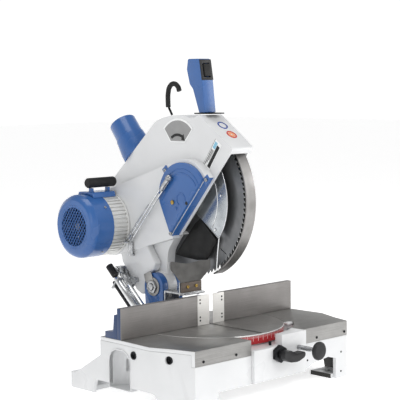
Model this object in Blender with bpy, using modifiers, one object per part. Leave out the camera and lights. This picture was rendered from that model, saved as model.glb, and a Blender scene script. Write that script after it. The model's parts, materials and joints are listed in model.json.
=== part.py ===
"""Chop and mitre saw: a belt-driven head on a hinge bracket, a turntable, and a cast bench base.

Metres, +Z up.  The origin is on the turntable's axis at bench level, the fence's front face is the plane y = 0,
and the operator stands at -Y.  The head is raised, as it rests, and the mitre angle is zero.
"""
import math

import bmesh
import bpy
from mathutils import Matrix, Vector

# ---------------------------------------------------------------- driving dimensions
GAP = 0.0003                    # clearance between pieces that touch
TABLE = 0.126                   # bench to table top
TABLE_HALF_WIDTH = 0.2630
TABLE_FRONT = -0.196            # front plane of the table
TABLE_BACK = 0.069              # rear edge of the table wings
TABLE_STRIP = 0.0325            # depth of the machined front strip
TABLE_PLATE = 0.008
BASE_WALL = 0.008
BASE_BACK = 0.172               # rear of the rear feet
TURNTABLE_RADIUS = 0.162
TURNTABLE_THICKNESS = 0.021
TURNTABLE_CLEARANCE = 0.0008
SCALE_GROOVE = 0.022            # width of the groove that shows the mitre scale
BLOCK_LEFT = -0.073             # front block that carries the lock and the index plunger
BLOCK_RIGHT = 0.089
BLOCK_PROUD = 0.008
FENCE_HEIGHT = 0.067
FENCE_THICKNESS = 0.012
FENCE_GAP = 0.0105              # opening between the two inserts
INSERT_WIDTH = 0.0358
INSERT_THICKNESS = 0.004
BLADE_RADIUS = 0.175
BLADE_PLATE = 0.0026
BLADE_SLOT = 0.010              # blade slot in the turntable
FLANGE_RADIUS = 0.040
GUARD_CLEARANCE = 0.005         # blade tips to the inside of the movable guard's rim
SHEET = 0.0015                  # guard sheet thickness
ROOF_CLEARANCE = 0.002          # movable guard to the inside of the head's roof
WALL = 0.004                    # head casting wall
HEAD_LEFT = -0.037              # outer faces of the head casting
HEAD_RIGHT = 0.026
COVER = 0.0035                  # right cover's thickness
ARM_RIGHT = -0.014              # inner side of the arm, beside the blade
MOUTH_NOSE = (-0.1735, 0.1168)  # ends of the hood's lower edge, y and z from the arbor
MOUTH_FOOT = (-0.0065, -0.0812)
BELT_CASE_LEFT = -0.060
ARBOR_COVER_DEPTH = 0.008
HUB_RADIUS = 0.0325             # hinge hub at the foot of the arm
EAR_RADIUS = 0.031
PIN_RADIUS = 0.008
HINGE_Y = 0.121
HINGE_HEIGHT = 0.078            # hinge axis above the table
ARM_LEAN = math.radians(16.1)   # arbor forward of the hinge at rest
MOTOR_FROM_HINGE = (0.155, 0.133)
MOTOR_RADIUS = 0.073
MOTOR_FRAME = 0.046             # length of the finned frame
MOTOR_COVER = 0.060             # length of the fan cover
GRILLE_RADIUS = 0.050
ARBOR_RADIUS = 0.010
BEARING_RADIUS = 0.021
BEARING_WIDTH = 0.016
ARBOR_PULLEY = 0.024
MOTOR_PULLEY = 0.030
PULLEY_WIDTH = 0.012
HANDLE_WIDTH = 0.034
OUTLET_RADIUS = 0.032
STRUT_X = -0.079                # plane of the return strut
STRUT_BOTTOM = (0.124, 0.014)   # lower strut pin, y and height above the table
STRUT_TOP = (0.224, 0.104)
STRUT_RADIUS = 0.008
ROD_RADIUS = 0.0045
LOCK = Vector((0.0, TABLE_FRONT - BLOCK_PROUD, TABLE - 0.038))
INDEX = Vector((0.064, TABLE_FRONT - BLOCK_PROUD, TABLE - 0.034))
KNOB_RADIUS = 0.020

# ---------------------------------------------------------------- places worked out from them
HINGE = Vector((0.0, HINGE_Y, TABLE + HINGE_HEIGHT))
ARM_REACH = BLADE_RADIUS + HUB_RADIUS
ARBOR = HINGE + Vector((0.0, -ARM_REACH * math.sin(ARM_LEAN), ARM_REACH * math.cos(ARM_LEAN)))
MOTOR = HINGE + Vector((0.0, MOTOR_FROM_HINGE[0], MOTOR_FROM_HINGE[1]))
GUARD_INNER = BLADE_RADIUS + GUARD_CLEARANCE
GUARD_OUTER = GUARD_INNER + SHEET
ROOF_INNER = GUARD_OUTER + ROOF_CLEARANCE
WELL_RADIUS = TURNTABLE_RADIUS + TURNTABLE_CLEARANCE

WHITE = ("white enamel", (0.80, 0.81, 0.82), 0.35, 0.0)
BLUE = ("blue enamel", (0.030, 0.115, 0.38), 0.35, 0.0)
MACHINED = ("machined cast iron", (0.30, 0.30, 0.31), 0.42, 0.9)
ALUMINIUM = ("aluminium", (0.62, 0.62, 0.63), 0.38, 1.0)
STEEL = ("bright steel", (0.58, 0.58, 0.60), 0.22, 1.0)
POLISHED = ("polished guard steel", (0.50, 0.50, 0.52), 0.16, 1.0)
BLADE_STEEL = ("blade steel", (0.33, 0.33, 0.35), 0.28, 1.0)
BLACK = ("black plastic", (0.018, 0.018, 0.020), 0.45, 0.0)
RUBBER = ("black rubber", (0.012, 0.012, 0.012), 0.70, 0.0)
RED = ("red scale", (0.50, 0.020, 0.025), 0.45, 0.0)
GREY = ("grey bar", (0.20, 0.17, 0.16), 0.50, 0.4)

PLANES = {
    "XY": Matrix(((1, 0, 0), (0, 1, 0), (0, 0, 1))),
    "YZ": Matrix(((0, 0, 1), (1, 0, 0), (0, 1, 0))),
    "XZ": Matrix(((1, 0, 0), (0, 0, -1), (0, 1, 0))),
}


# ---------------------------------------------------------------- scene and materials
def clear_scene():
    for obj in list(bpy.data.objects):
        bpy.data.objects.remove(obj, do_unlink=True)


def new_collection(name):
    collection = bpy.data.collections.new(name)
    bpy.context.scene.collection.children.link(collection)
    return collection


def material(finish):
    name, colour, roughness, metallic = finish
    found = bpy.data.materials.get(name)
    if found:
        return found
    made = bpy.data.materials.new(name)
    made.use_nodes = True
    shader = made.node_tree.nodes["Principled BSDF"]
    shader.inputs["Base Color"].default_value = (*colour, 1.0)
    shader.inputs["Roughness"].default_value = roughness
    shader.inputs["Metallic"].default_value = metallic
    return made


def link(name, mesh, finish=None):
    """An object for the mesh: a part with a finish, or a hidden cutter without one."""
    obj = bpy.data.objects.new(name, mesh)
    if finish:
        PARTS.objects.link(obj)
        mesh.materials.clear()
        mesh.materials.append(material(finish))
        return obj
    CUTTERS.objects.link(obj)
    obj.hide_render = True
    obj.display_type = "WIRE"
    return obj


# ---------------------------------------------------------------- outlines
def at(centre, radius, angle):
    """Point at an angle in degrees from the first axis towards the second."""
    turn = math.radians(angle)
    return (centre[0] + radius * math.cos(turn), centre[1] + radius * math.sin(turn))


def arc(centre, radius, start, end, steps):
    return [at(centre, radius, start + (end - start) * i / steps) for i in range(steps + 1)]


def circle(centre, radius, steps=36):
    return arc(centre, radius, 0, 360, steps)[:-1]


def rounded(corners):
    """Outline through corners (a, b, radius), each replaced by an arc of that radius."""
    outline = []
    for i, (a, b, radius) in enumerate(corners):
        here = Vector((a, b))
        before = Vector(corners[i - 1][:2]) - here
        after = Vector(corners[(i + 1) % len(corners)][:2]) - here
        half = before.angle(after) / 2
        if radius <= 0 or half > math.radians(88):
            outline.append((a, b))
            continue
        reach = min(radius / math.tan(half), 0.48 * before.length, 0.48 * after.length)
        radius = reach * math.tan(half)
        centre = here + (before.normalized() + after.normalized()).normalized() * (radius / math.sin(half))
        start = here + before.normalized() * reach - centre
        end = here + after.normalized() * reach - centre
        turn = start.angle_signed(end)
        steps = max(1, round(abs(turn) / math.radians(18)))
        for step in range(steps + 1):
            angle = -turn * step / steps
            cos, sin = math.cos(angle), math.sin(angle)
            outline.append((centre.x + start.x * cos - start.y * sin, centre.y + start.x * sin + start.y * cos))
    return outline


def inset(corners, distance):
    """The same rounded corners moved inwards; the outline runs anticlockwise."""
    moved = []
    for i, (a, b, radius) in enumerate(corners):
        here = Vector((a, b))
        before = (here - Vector(corners[i - 1][:2])).normalized()
        after = (Vector(corners[(i + 1) % len(corners)][:2]) - here).normalized()
        normal_before = Vector((-before.y, before.x))
        normal_after = Vector((-after.y, after.x))
        mitre = (normal_before + normal_after).normalized()
        shift = mitre * (distance / mitre.dot(normal_after))
        moved.append((a + shift.x, b + shift.y, max(radius - distance, 0.0)))
    return moved


def stadium(first, first_radius, second, second_radius, steps=16):
    """Outline around two circles and their outer tangents."""
    a = Vector(first)
    b = Vector(second)
    span = b - a
    facing = math.degrees(math.atan2(span.y, span.x))
    lean = math.degrees(math.acos((first_radius - second_radius) / span.length))
    return (arc(first, first_radius, facing + lean, facing + 360 - lean, steps)
            + arc(second, second_radius, facing - lean, facing + lean, steps))


# ---------------------------------------------------------------- solids
def bake(obj, weld=1e-6):
    """The object's evaluated shape as a plain mesh with its caps welded and its faces outward."""
    bpy.context.view_layer.update()
    evaluated = obj.evaluated_get(bpy.context.evaluated_depsgraph_get())
    mesh = bpy.data.meshes.new_from_object(evaluated)
    mesh.transform(obj.matrix_world)
    data = obj.data
    bpy.data.objects.remove(obj, do_unlink=True)
    if isinstance(data, bpy.types.Curve):
        bpy.data.curves.remove(data)
    shape = bmesh.new()
    shape.from_mesh(mesh)
    bmesh.ops.remove_doubles(shape, verts=shape.verts, dist=weld)
    bmesh.ops.recalc_face_normals(shape, faces=shape.faces)
    shape.to_mesh(mesh)
    shape.free()
    return mesh


def prism_mesh(outlines, plane, low, high):
    """Flat outline, with any holes as further outlines, extruded along the plane's normal."""
    curve = bpy.data.curves.new("outline", "CURVE")
    curve.dimensions = "2D"
    curve.fill_mode = "BOTH"
    curve.extrude = (high - low) / 2
    for outline in outlines:
        spline = curve.splines.new("POLY")
        spline.points.add(len(outline) - 1)
        for point, (a, b) in zip(spline.points, outline):
            point.co = (a, b, 0.0, 1.0)
        spline.use_cyclic_u = True
    obj = bpy.data.objects.new("outline", curve)
    CUTTERS.objects.link(obj)
    turn = PLANES[plane]
    normal = turn @ Vector((0, 0, 1))
    middle = (low + high) / 2
    if plane == "XZ":
        middle = -middle
    obj.matrix_world = Matrix.Translation(normal * middle) @ turn.to_4x4()
    return bake(obj)


def prism(name, outlines, plane, low, high, finish=None):
    if not isinstance(outlines[0][0], (tuple, list)):
        outlines = [outlines]
    return link(name, prism_mesh(outlines, plane, low, high), finish)


def box(name, low, high, finish=None):
    mesh = bpy.data.meshes.new(name)
    shape = bmesh.new()
    bmesh.ops.create_cube(shape, size=1.0)
    size = Vector(high) - Vector(low)
    middle = (Vector(high) + Vector(low)) / 2
    for vertex in shape.verts:
        vertex.co = Vector((vertex.co.x * size.x, vertex.co.y * size.y, vertex.co.z * size.z)) + middle
    shape.to_mesh(mesh)
    shape.free()
    return link(name, mesh, finish)


def rod(name, start, end, radius, finish=None, sides=24, end_radius=None):
    """Cylinder or cone between two points."""
    start = Vector(start)
    end = Vector(end)
    mesh = bpy.data.meshes.new(name)
    shape = bmesh.new()
    bmesh.ops.create_cone(shape, cap_ends=True, segments=sides, radius1=radius,
                          radius2=radius if end_radius is None else end_radius, depth=(end - start).length)
    turn = Vector((0, 0, 1)).rotation_difference(end - start).to_matrix().to_4x4()
    shape.transform(Matrix.Translation((start + end) / 2) @ turn)
    shape.to_mesh(mesh)
    shape.free()
    return link(name, mesh, finish)


def turned(name, profile, centre, axis, finish=None, sides=36):
    """Closed profile of (radius, distance along the axis) turned round an axis through the centre."""
    mesh = bpy.data.meshes.new(name)
    count = len(profile)
    touches = [i for i in range(count) if profile[i][0] == 0 and profile[(i + 1) % count][0] == 0]
    edges = [(i, (i + 1) % count) for i in range(count) if i not in touches]
    mesh.from_pydata([(radius, 0.0, height) for radius, height in profile], edges, [])
    obj = link("profile", mesh)
    screw = obj.modifiers.new("turn", "SCREW")
    screw.steps = sides
    screw.render_steps = sides
    screw.use_merge_vertices = True
    screw.merge_threshold = 0.0000001
    turn = Vector((0, 0, 1)).rotation_difference(Vector(axis)).to_matrix().to_4x4()
    obj.matrix_world = Matrix.Translation(centre) @ turn
    return link(name, bake(obj), finish)


def tube(name, points, radius, finish=None, resolution=3, smooth=6):
    """Round bar along a smooth curve through the points."""
    curve = bpy.data.curves.new(name, "CURVE")
    curve.dimensions = "3D"
    curve.bevel_depth = radius
    curve.bevel_resolution = resolution
    curve.use_fill_caps = True
    spline = curve.splines.new("BEZIER" if smooth else "POLY")
    spline_points = spline.bezier_points if smooth else spline.points
    spline_points.add(len(points) - 1)
    for knot, place in zip(spline_points, points):
        if smooth:
            knot.co = place
            knot.handle_left_type = "AUTO"
            knot.handle_right_type = "AUTO"
        else:
            knot.co = (*place, 1.0)
    curve.resolution_u = max(smooth, 1)
    obj = bpy.data.objects.new(name, curve)
    CUTTERS.objects.link(obj)
    return link(name, bake(obj, weld=1e-5), finish)


def boolean(target, tool, operation):
    modifier = target.modifiers.new(operation.lower(), "BOOLEAN")
    modifier.operation = operation
    modifier.solver = "EXACT"
    modifier.object = tool
    return target


def cut(target, *tools):
    for tool in tools:
        boolean(target, tool, "DIFFERENCE")
    return target


def join(target, *tools):
    for tool in tools:
        boolean(target, tool, "UNION")
    return target


def soften(obj, width, segments=1, angle=40):
    modifier = obj.modifiers.new("edges", "BEVEL")
    modifier.width = width
    modifier.segments = segments
    modifier.limit_method = "ANGLE"
    modifier.angle_limit = math.radians(angle)
    modifier.harden_normals = False
    return obj


def pivot(name, place, *pieces):
    """Empty on a joint's axis that carries the pieces."""
    empty = bpy.data.objects.new(name, None)
    empty.location = place
    CUTTERS.objects.link(empty)
    for piece in pieces:
        piece.parent = empty
        piece.matrix_parent_inverse = Matrix.Translation(-Vector(place))
    return empty


def above(y, height):
    """Point in a side view, its height counted from the table top."""
    return (y, TABLE + height)


def from_arbor(dy, dz, radius=0.0):
    return (ARBOR.y + dy, ARBOR.z + dz, radius)


def from_hinge(dy, dz, radius=0.0):
    return (HINGE.y + dy, HINGE.z + dz, radius)


def from_motor(dy, dz, radius=0.0):
    return (MOTOR.y + dy, MOTOR.z + dz, radius)


# ---------------------------------------------------------------- base
def table_outline(shrink=0.0):
    """Plan of the table: side ends that swell forward of the fence and taper to the front corners."""
    half = TABLE_HALF_WIDTH - shrink
    front = TABLE_FRONT + shrink
    right = [(half, TABLE_BACK - shrink), (half, 0.0), (half + 0.005, -0.094), (half - 0.016, -0.150),
             (half - 0.028, front)]
    left = [(-x, y) for x, y in reversed(right)]
    return left + right


def front_notch(name, depth_low):
    """Opening in front of the turntable, where the block sits and the mitre scale shows."""
    groove = TURNTABLE_RADIUS + SCALE_GROOVE
    inner = WELL_RADIUS - 0.010
    right = -math.degrees(math.acos(BLOCK_RIGHT / groove))
    left = -math.degrees(math.acos(BLOCK_LEFT / inner))
    outline = [(BLOCK_LEFT, TABLE_FRONT - 0.02), (BLOCK_RIGHT, TABLE_FRONT - 0.02)]
    outline += arc((0, 0), groove, right, -38, 8)
    outline += arc((0, 0), inner, -38, left, 12)
    return prism(name, outline, "XY", depth_low, TABLE + 0.01)


def make_base():
    top = TABLE - TABLE_PLATE - GAP
    base = prism("base_casting", table_outline(), "XY", 0.0, top, WHITE)
    wedge = [above(TABLE_BACK - 0.03, -0.040), above(TABLE_BACK, -0.040), above(0.155, -0.091),
             above(BASE_BACK, -0.091), (BASE_BACK, 0.0), (TABLE_BACK - 0.03, 0.0)]
    join(base, prism("rear_wings", wedge, "YZ", -TABLE_HALF_WIDTH, TABLE_HALF_WIDTH))
    # hollow underneath
    cut(base, prism("front_hollow", table_outline(BASE_WALL), "XY", -0.01, top - BASE_WALL))
    inner = [(TABLE_BACK - 0.035, TABLE - 0.040 - BASE_WALL), above(TABLE_BACK - 0.003, -0.040 - BASE_WALL),
             above(0.152, -0.091 - BASE_WALL), above(BASE_BACK - BASE_WALL, -0.091 - BASE_WALL),
             (BASE_BACK - BASE_WALL, -0.01), (TABLE_BACK - 0.035, -0.01)]
    cut(base, prism("rear_hollow", inner, "YZ", BASE_WALL - TABLE_HALF_WIDTH, TABLE_HALF_WIDTH - BASE_WALL))
    # bowl that carries the turntable
    floor = TABLE - TURNTABLE_THICKNESS - GAP
    bowl = turned("bowl", [(0.138, floor), (WELL_RADIUS, floor), (WELL_RADIUS, top), (WELL_RADIUS + BASE_WALL, top),
                           (WELL_RADIUS + BASE_WALL, floor - 0.030), (0.150, floor - 0.030), (0.150, floor - BASE_WALL),
                           (0.138, floor - BASE_WALL)], (0, 0, 0), (0, 0, 1), sides=36)
    cut(base, turned("well", [(0, floor - 0.035), (WELL_RADIUS + 0.004, floor - 0.035), (WELL_RADIUS + 0.004, top + 0.01),
                              (0, top + 0.01)], (0, 0, 0), (0, 0, 1), sides=36))
    join(base, bowl)
    # bridge that holds the king pin, tied to the bowl and both side walls
    bridge = box("bridge", (BASE_WALL / 2 - TABLE_HALF_WIDTH, -0.024, floor - 0.052),
                 (TABLE_HALF_WIDTH - BASE_WALL / 2, 0.024, floor - 0.026))
    join(base, bridge)
    cut(base, rod("king_pin_bore", (0, 0, floor - 0.08), (0, 0, floor), 0.0083, sides=24))
    cut(base, front_notch("base_notch", TABLE - 0.0925))
    # arches between the feet
    front_low = TABLE_FRONT - 0.02
    front_arch = [(-0.176, -0.01), (0.196, -0.01), (0.196, TABLE - 0.080), (0.170, TABLE - 0.073), (0.120, TABLE - 0.080),
                  (0.084, TABLE - 0.094), (-0.168, TABLE - 0.094)]
    cut(base, prism("front_arch", front_arch, "XZ", front_low, TABLE_FRONT + 0.03))
    side_arch = rounded([(-0.120, -0.01, 0), (0.098, -0.01, 0), (0.088, 0.030, 0.010), (-0.105, 0.030, 0.014)])
    cut(base, prism("side_arch", side_arch, "YZ", -0.30, 0.30))
    rear_arch = rounded([(-0.190, -0.01, 0), (0.190, -0.01, 0), (0.180, 0.020, 0.010), (-0.180, 0.020, 0.010)])
    cut(base, prism("rear_arch", rear_arch, "XZ", BASE_BACK - 0.03, BASE_BACK + 0.01))
    foot_pads(base)
    return base


def foot_pads(base):
    """Solid pads inside the four feet, each with a bolt hole."""
    for side in (-1, 1):
        for name, y, x in (("front", -0.158, 0.214), ("rear", 0.135, 0.226)):
            pad = box(f"pad_{name}_{side}", (side * x - 0.026, y - 0.030, 0.0), (side * x + 0.026, y + 0.030, 0.010))
            join(base, pad)
            cut(base, rod(f"pad_hole_{name}_{side}", (side * x, y, -0.01), (side * x, y, 0.02), 0.0055, sides=24))


def make_table():
    """Two machined wings, each with a deep front strip."""
    pieces = []
    pocket = box("table_pocket", (-0.3, TABLE_FRONT + BASE_WALL + GAP, TABLE - 0.05),
                 (0.3, 0.10, TABLE - TABLE_PLATE))
    well = rod("table_well", (0, 0, TABLE - 0.05), (0, 0, TABLE + 0.01), WELL_RADIUS, sides=60)
    notch = front_notch("table_notch", TABLE - 0.05)
    for name, side in (("table_left", -1), ("table_right", 1)):
        wing = prism(name, table_outline(), "XY", TABLE - TABLE_STRIP, TABLE, MACHINED)
        keep = box(f"{name}_half", (min(0, side) * 0.4, -0.3, 0.0), (max(0, side) * 0.4, 0.3, 0.3))
        boolean(wing, keep, "INTERSECT")
        cut(wing, pocket, well, notch)
        pieces.append(wing)
    return pieces


def clear_strip(base):
    """Room in the cast front wall for the deep front strip of the table."""
    cut(base, box("strip_room", (-0.3, TABLE_FRONT - 0.01, TABLE - TABLE_STRIP - GAP),
                  (0.3, TABLE_FRONT + BASE_WALL + 2 * GAP, TABLE + 0.01)))


def make_front_block():
    """Casting in the notch: low on the left under the scale, level with the table on the right."""
    front = TABLE_FRONT - BLOCK_PROUD
    groove = TURNTABLE_RADIUS + SCALE_GROOVE
    low = TABLE - 0.0915
    seat = TABLE - TURNTABLE_THICKNESS - 0.0015
    left = BLOCK_LEFT + GAP
    right = BLOCK_RIGHT - GAP
    rim = WELL_RADIUS + 0.001
    angle_left = -math.degrees(math.acos(left / rim))
    angle_right = -math.degrees(math.acos(right / rim))
    outline = [(left, front), (right, front)] + arc((0, 0), rim, angle_right, angle_left, 16)
    block = prism("front_block", outline, "XY", low, seat, WHITE)
    raised_end = -math.degrees(math.acos(right / groove))
    raised = [(0.012, front), (right, front)] + arc((0, 0), groove, raised_end, -86, 10)
    join(block, prism("raised_block", raised, "XY", seat - 0.004, TABLE - GAP))
    cut(block, rod("lock_bore", LOCK + Vector((0, -0.01, 0)), LOCK + Vector((0, 0.06, 0)), 0.0066, sides=24))
    cut(block, rod("index_bore", INDEX + Vector((0, -0.01, 0)), INDEX + Vector((0, 0.08, 0)), 0.0051, sides=24))
    cut(block, box("block_pocket", (left + 0.010, front + 0.010, low - 0.01), (right - 0.010, -0.150, TABLE - 0.062)))
    return block


def make_fences():
    """Two cast halves with a thin tongue behind each aluminium insert."""
    pieces = []
    top = TABLE + FENCE_HEIGHT
    bottom = TABLE + GAP
    gap = FENCE_GAP / 2
    insert_end = gap + INSERT_WIDTH
    for side, word in ((-1, "left"), (1, "right")):
        outline = [(side * TABLE_HALF_WIDTH, 0.0), (side * (insert_end + GAP), 0.0),
                   (side * (insert_end + GAP), INSERT_THICKNESS + GAP), (side * (gap + 0.020), INSERT_THICKNESS + GAP),
                   (side * (gap + 0.026), FENCE_THICKNESS), (side * TABLE_HALF_WIDTH, FENCE_THICKNESS)]
        pieces.append(prism(f"fence_{word}", outline, "XY", bottom, top, MACHINED))
        insert = [(side * gap, 0.0), (side * insert_end, 0.0), (side * insert_end, INSERT_THICKNESS),
                  (side * (gap + INSERT_THICKNESS + 0.001), INSERT_THICKNESS), (side * gap, 0.0005)]
        pieces.append(prism(f"fence_insert_{word}", insert, "XY", bottom, top, ALUMINIUM))
        pieces.append(make_fence_bracket(side, word))
    return pieces


def make_fence_bracket(side, word):
    """Foot behind the fence's outer end, with its clamp bolt."""
    back = FENCE_THICKNESS + GAP
    outer = side * TABLE_HALF_WIDTH
    inner = side * (TABLE_HALF_WIDTH - 0.046)
    low, high = min(outer, inner), max(outer, inner)
    profile = [(back, TABLE + GAP), (back + 0.040, TABLE + GAP), (back + 0.040, TABLE + 0.014), (back + 0.014, TABLE + 0.017),
               (back + 0.010, TABLE + 0.052), (back, TABLE + 0.052)]
    bracket = prism(f"fence_bracket_{word}", profile, "YZ", low, high, BLUE)
    middle = (low + high) / 2
    bolt_y = back + 0.026
    return join(bracket, rod(f"fence_bolt_{word}", (middle, bolt_y, TABLE + 0.005), (middle, bolt_y, TABLE + 0.024),
                             0.0085, sides=6))


def make_pointer():
    """Small screw and finger on the block that point at the mitre scale."""
    y = TABLE_FRONT + 0.012
    z = TABLE - TURNTABLE_THICKNESS - 0.0015
    return rod("scale_pointer", (-0.004, y, z + GAP), (-0.004, y, z + 0.009), 0.0032, BLACK, sides=20)


def make_lock():
    """Clamp screw with a hexagonal hub, and the curved lever on it."""
    back = LOCK + Vector((0, 0.030, 0))
    screw = rod("lock_screw", LOCK + Vector((0, -0.0190, 0)), back, 0.0063, STEEL, sides=24)
    join(screw, rod("lock_hub", LOCK + Vector((0, -0.0100, 0)), LOCK + Vector((0, -GAP, 0)), 0.0190, sides=6))
    front = LOCK.y - 0.0280
    rear = LOCK.y - 0.0103
    corners = [(-0.0095, 0.0080, 0.008), (0.0100, 0.0085, 0.006), (0.0290, -0.0010, 0.020), (0.0560, 0.0005, 0.007),
               (0.0555, -0.0110, 0.008), (0.0330, -0.0190, 0.020), (0.0080, -0.0170, 0.015), (-0.0095, -0.0080, 0.008)]
    outline = rounded([(LOCK.x + a, LOCK.z + b, r) for a, b, r in corners])
    lever = prism("lock_lever", outline, "XZ", front, rear, BLACK)
    cut(lever, rod("lever_bore", LOCK + Vector((0, -0.0195, 0)), LOCK + Vector((0, 0.01, 0)), 0.0066, sides=24))
    soften(lever, 0.0030)
    pivot("lock_axis", LOCK, screw, lever)
    return screw, lever


def make_index():
    """Spring plunger that drops into the turntable's stops."""
    plunger = rod("index_plunger", INDEX + Vector((0, -0.050, 0)), INDEX + Vector((0, 0.034, 0)), 0.0048, STEEL, sides=24)
    profile = [(0.0051, -0.046), (0.0090, -0.046), (0.0090, -0.0515), (0.0160, -0.0530), (KNOB_RADIUS, -0.0560),
               (KNOB_RADIUS, -0.0610), (0.0165, -0.0640), (0, -0.0645), (0, -0.0503), (0.0051, -0.0503)]
    knob = turned("index_knob", [(r, -h) for r, h in profile], INDEX, (0, -1, 0), BLACK, sides=28)
    pivot("index_axis", INDEX, plunger, knob)
    return plunger, knob


# ---------------------------------------------------------------- turntable
def make_turntable():
    under = TABLE - TURNTABLE_THICKNESS
    disc = turned("turntable", [(0, under), (TURNTABLE_RADIUS - 0.003, under), (TURNTABLE_RADIUS - 0.003, TABLE - 0.0200),
                                (TURNTABLE_RADIUS - 0.003, TABLE - 0.0030), (TURNTABLE_RADIUS, TABLE - 0.0030),
                                (TURNTABLE_RADIUS, TABLE), (0, TABLE)], (0, 0, 0), (0, 0, 1), MACHINED, sides=60)
    chord = math.sqrt(BLADE_RADIUS ** 2 - (ARM_REACH * math.cos(ARM_LEAN + math.radians(52)) + HINGE_HEIGHT) ** 2)
    centre = HINGE.y - ARM_REACH * math.sin(ARM_LEAN + math.radians(52))
    front = max(centre - chord - 0.004, 0.004 - TURNTABLE_RADIUS)
    half = BLADE_SLOT / 2
    cut(disc, box("disc_slot", (-half, front, under - 0.01), (half, centre + chord + 0.007, TABLE + 0.01)))
    join(disc, turned("king_pin", [(0, under - 0.060), (0.008, under - 0.060), (0.008, under - 0.014), (0.030, under - 0.014),
                                   (0.030, under + 0.002), (0, under + 0.002)], (0, 0, 0), (0, 0, 1), sides=28))
    band_top = TABLE - 0.0034
    band = turned("mitre_scale", [(TURNTABLE_RADIUS - 0.0027, under), (TURNTABLE_RADIUS - 0.0012, under),
                                  (TURNTABLE_RADIUS - 0.0012, band_top), (TURNTABLE_RADIUS - 0.0027, band_top)],
                  (0, 0, 0), (0, 0, 1), RED, sides=60)
    sector = [(0, 0)] + arc((0, 0), TURNTABLE_RADIUS + 0.02, -150, -30, 16)
    boolean(band, prism("scale_sector", sector, "XY", under - 0.01, TABLE), "INTERSECT")
    return disc, band


def make_hinge_bracket():
    """Blue bracket on the rear of the turntable: a foot and two ears around the arm's hub."""
    foot_top = TABLE + 0.014
    foot = [(-0.063, 0.088), (0.050, 0.088), (0.040, 0.146), (-0.055, 0.146)]
    bracket = prism("hinge_bracket", foot, "XY", TABLE + GAP, foot_top, BLUE)
    for name, low, high in (("left_ear", -0.063, -0.0463), ("right_ear", -0.0197, -0.0030)):
        side = arc((HINGE.y, HINGE.z), EAR_RADIUS, 0, 180, 14)
        outline = side + [(HINGE.y - EAR_RADIUS, TABLE + 0.004), (HINGE.y + EAR_RADIUS - 0.004, TABLE + 0.004)]
        join(bracket, prism(name, outline, "YZ", low, high))
    web = [(-0.0475, 0.132), (-0.018, 0.132), (-0.018, 0.146), (-0.0475, 0.146)]
    join(bracket, prism("web", web, "XY", TABLE + 0.004, TABLE + 0.036))
    cut(bracket, rod("pin_bore", HINGE + Vector((-0.09, 0, 0)), HINGE + Vector((0.03, 0, 0)), PIN_RADIUS + GAP, sides=28))
    join(bracket, rod("strut_lower_pin", (STRUT_X - 0.008, *above(*STRUT_BOTTOM)), (-0.0600, *above(*STRUT_BOTTOM)), 0.0042,
                      sides=24))
    pin = turned("hinge_pin", [(0, -0.074), (PIN_RADIUS, -0.074), (PIN_RADIUS, -0.0027), (0.0125, -0.0027), (0.0125, 0.0050),
                               (0, 0.0050)], HINGE, (1, 0, 0), STEEL, sides=28)
    nut = prism("hinge_nut", [circle((HINGE.y, HINGE.z), 0.0150, 6), circle((HINGE.y, HINGE.z), PIN_RADIUS + GAP, 40)],
                "YZ", -0.0715, -0.0633, STEEL)
    return bracket, pin, nut


def make_deflector():
    """Plate from the bracket to just behind the fence, with a clamp bar, a rubber flap and the down-stop post."""
    level = TABLE + 0.0690
    shelf = prism("deflector_bracket", [[(-0.0625, 0.0150), (-0.0040, 0.0150), (-0.0040, 0.0400), (-0.0200, 0.0860),
                                         (-0.0625, 0.0860)], circle((-0.0095, 0.0330), 0.0042, 20)],
                  "XY", level, level + 0.0040, ALUMINIUM)
    post_foot = box("shelf_upright", (-0.0625, 0.0830, TABLE + 0.0143), (-0.0200, 0.0870, level + 0.002))
    join(shelf, post_foot)
    face = box("shelf_face", (-0.0760, 0.0190, level), (-0.0160, 0.0225, TABLE + 0.0985))
    join(shelf, face)
    bar = box("deflector_bar", (-0.0760, 0.0130, TABLE + 0.0755), (-0.0160, 0.0165, TABLE + 0.0985), GREY)
    flap = box("deflector_flap", (-0.0740, 0.0168, TABLE + 0.0760), (-0.0180, 0.0187, TABLE + 0.1450), RUBBER)
    post = rod("stop_post", (-0.0095, 0.0330, level - 0.0050), (-0.0095, 0.0330, TABLE + 0.0980), 0.0039, STEEL, sides=24)
    join(post, turned("stop_post_cap", [(0, 0.0970), (0.0052, 0.0970), (0.0052, 0.1040), (0.0036, 0.1060), (0, 0.1060)],
                      (-0.0095, 0.0330, TABLE), (0, 0, 1), sides=24))
    return shelf, bar, flap, post


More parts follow.
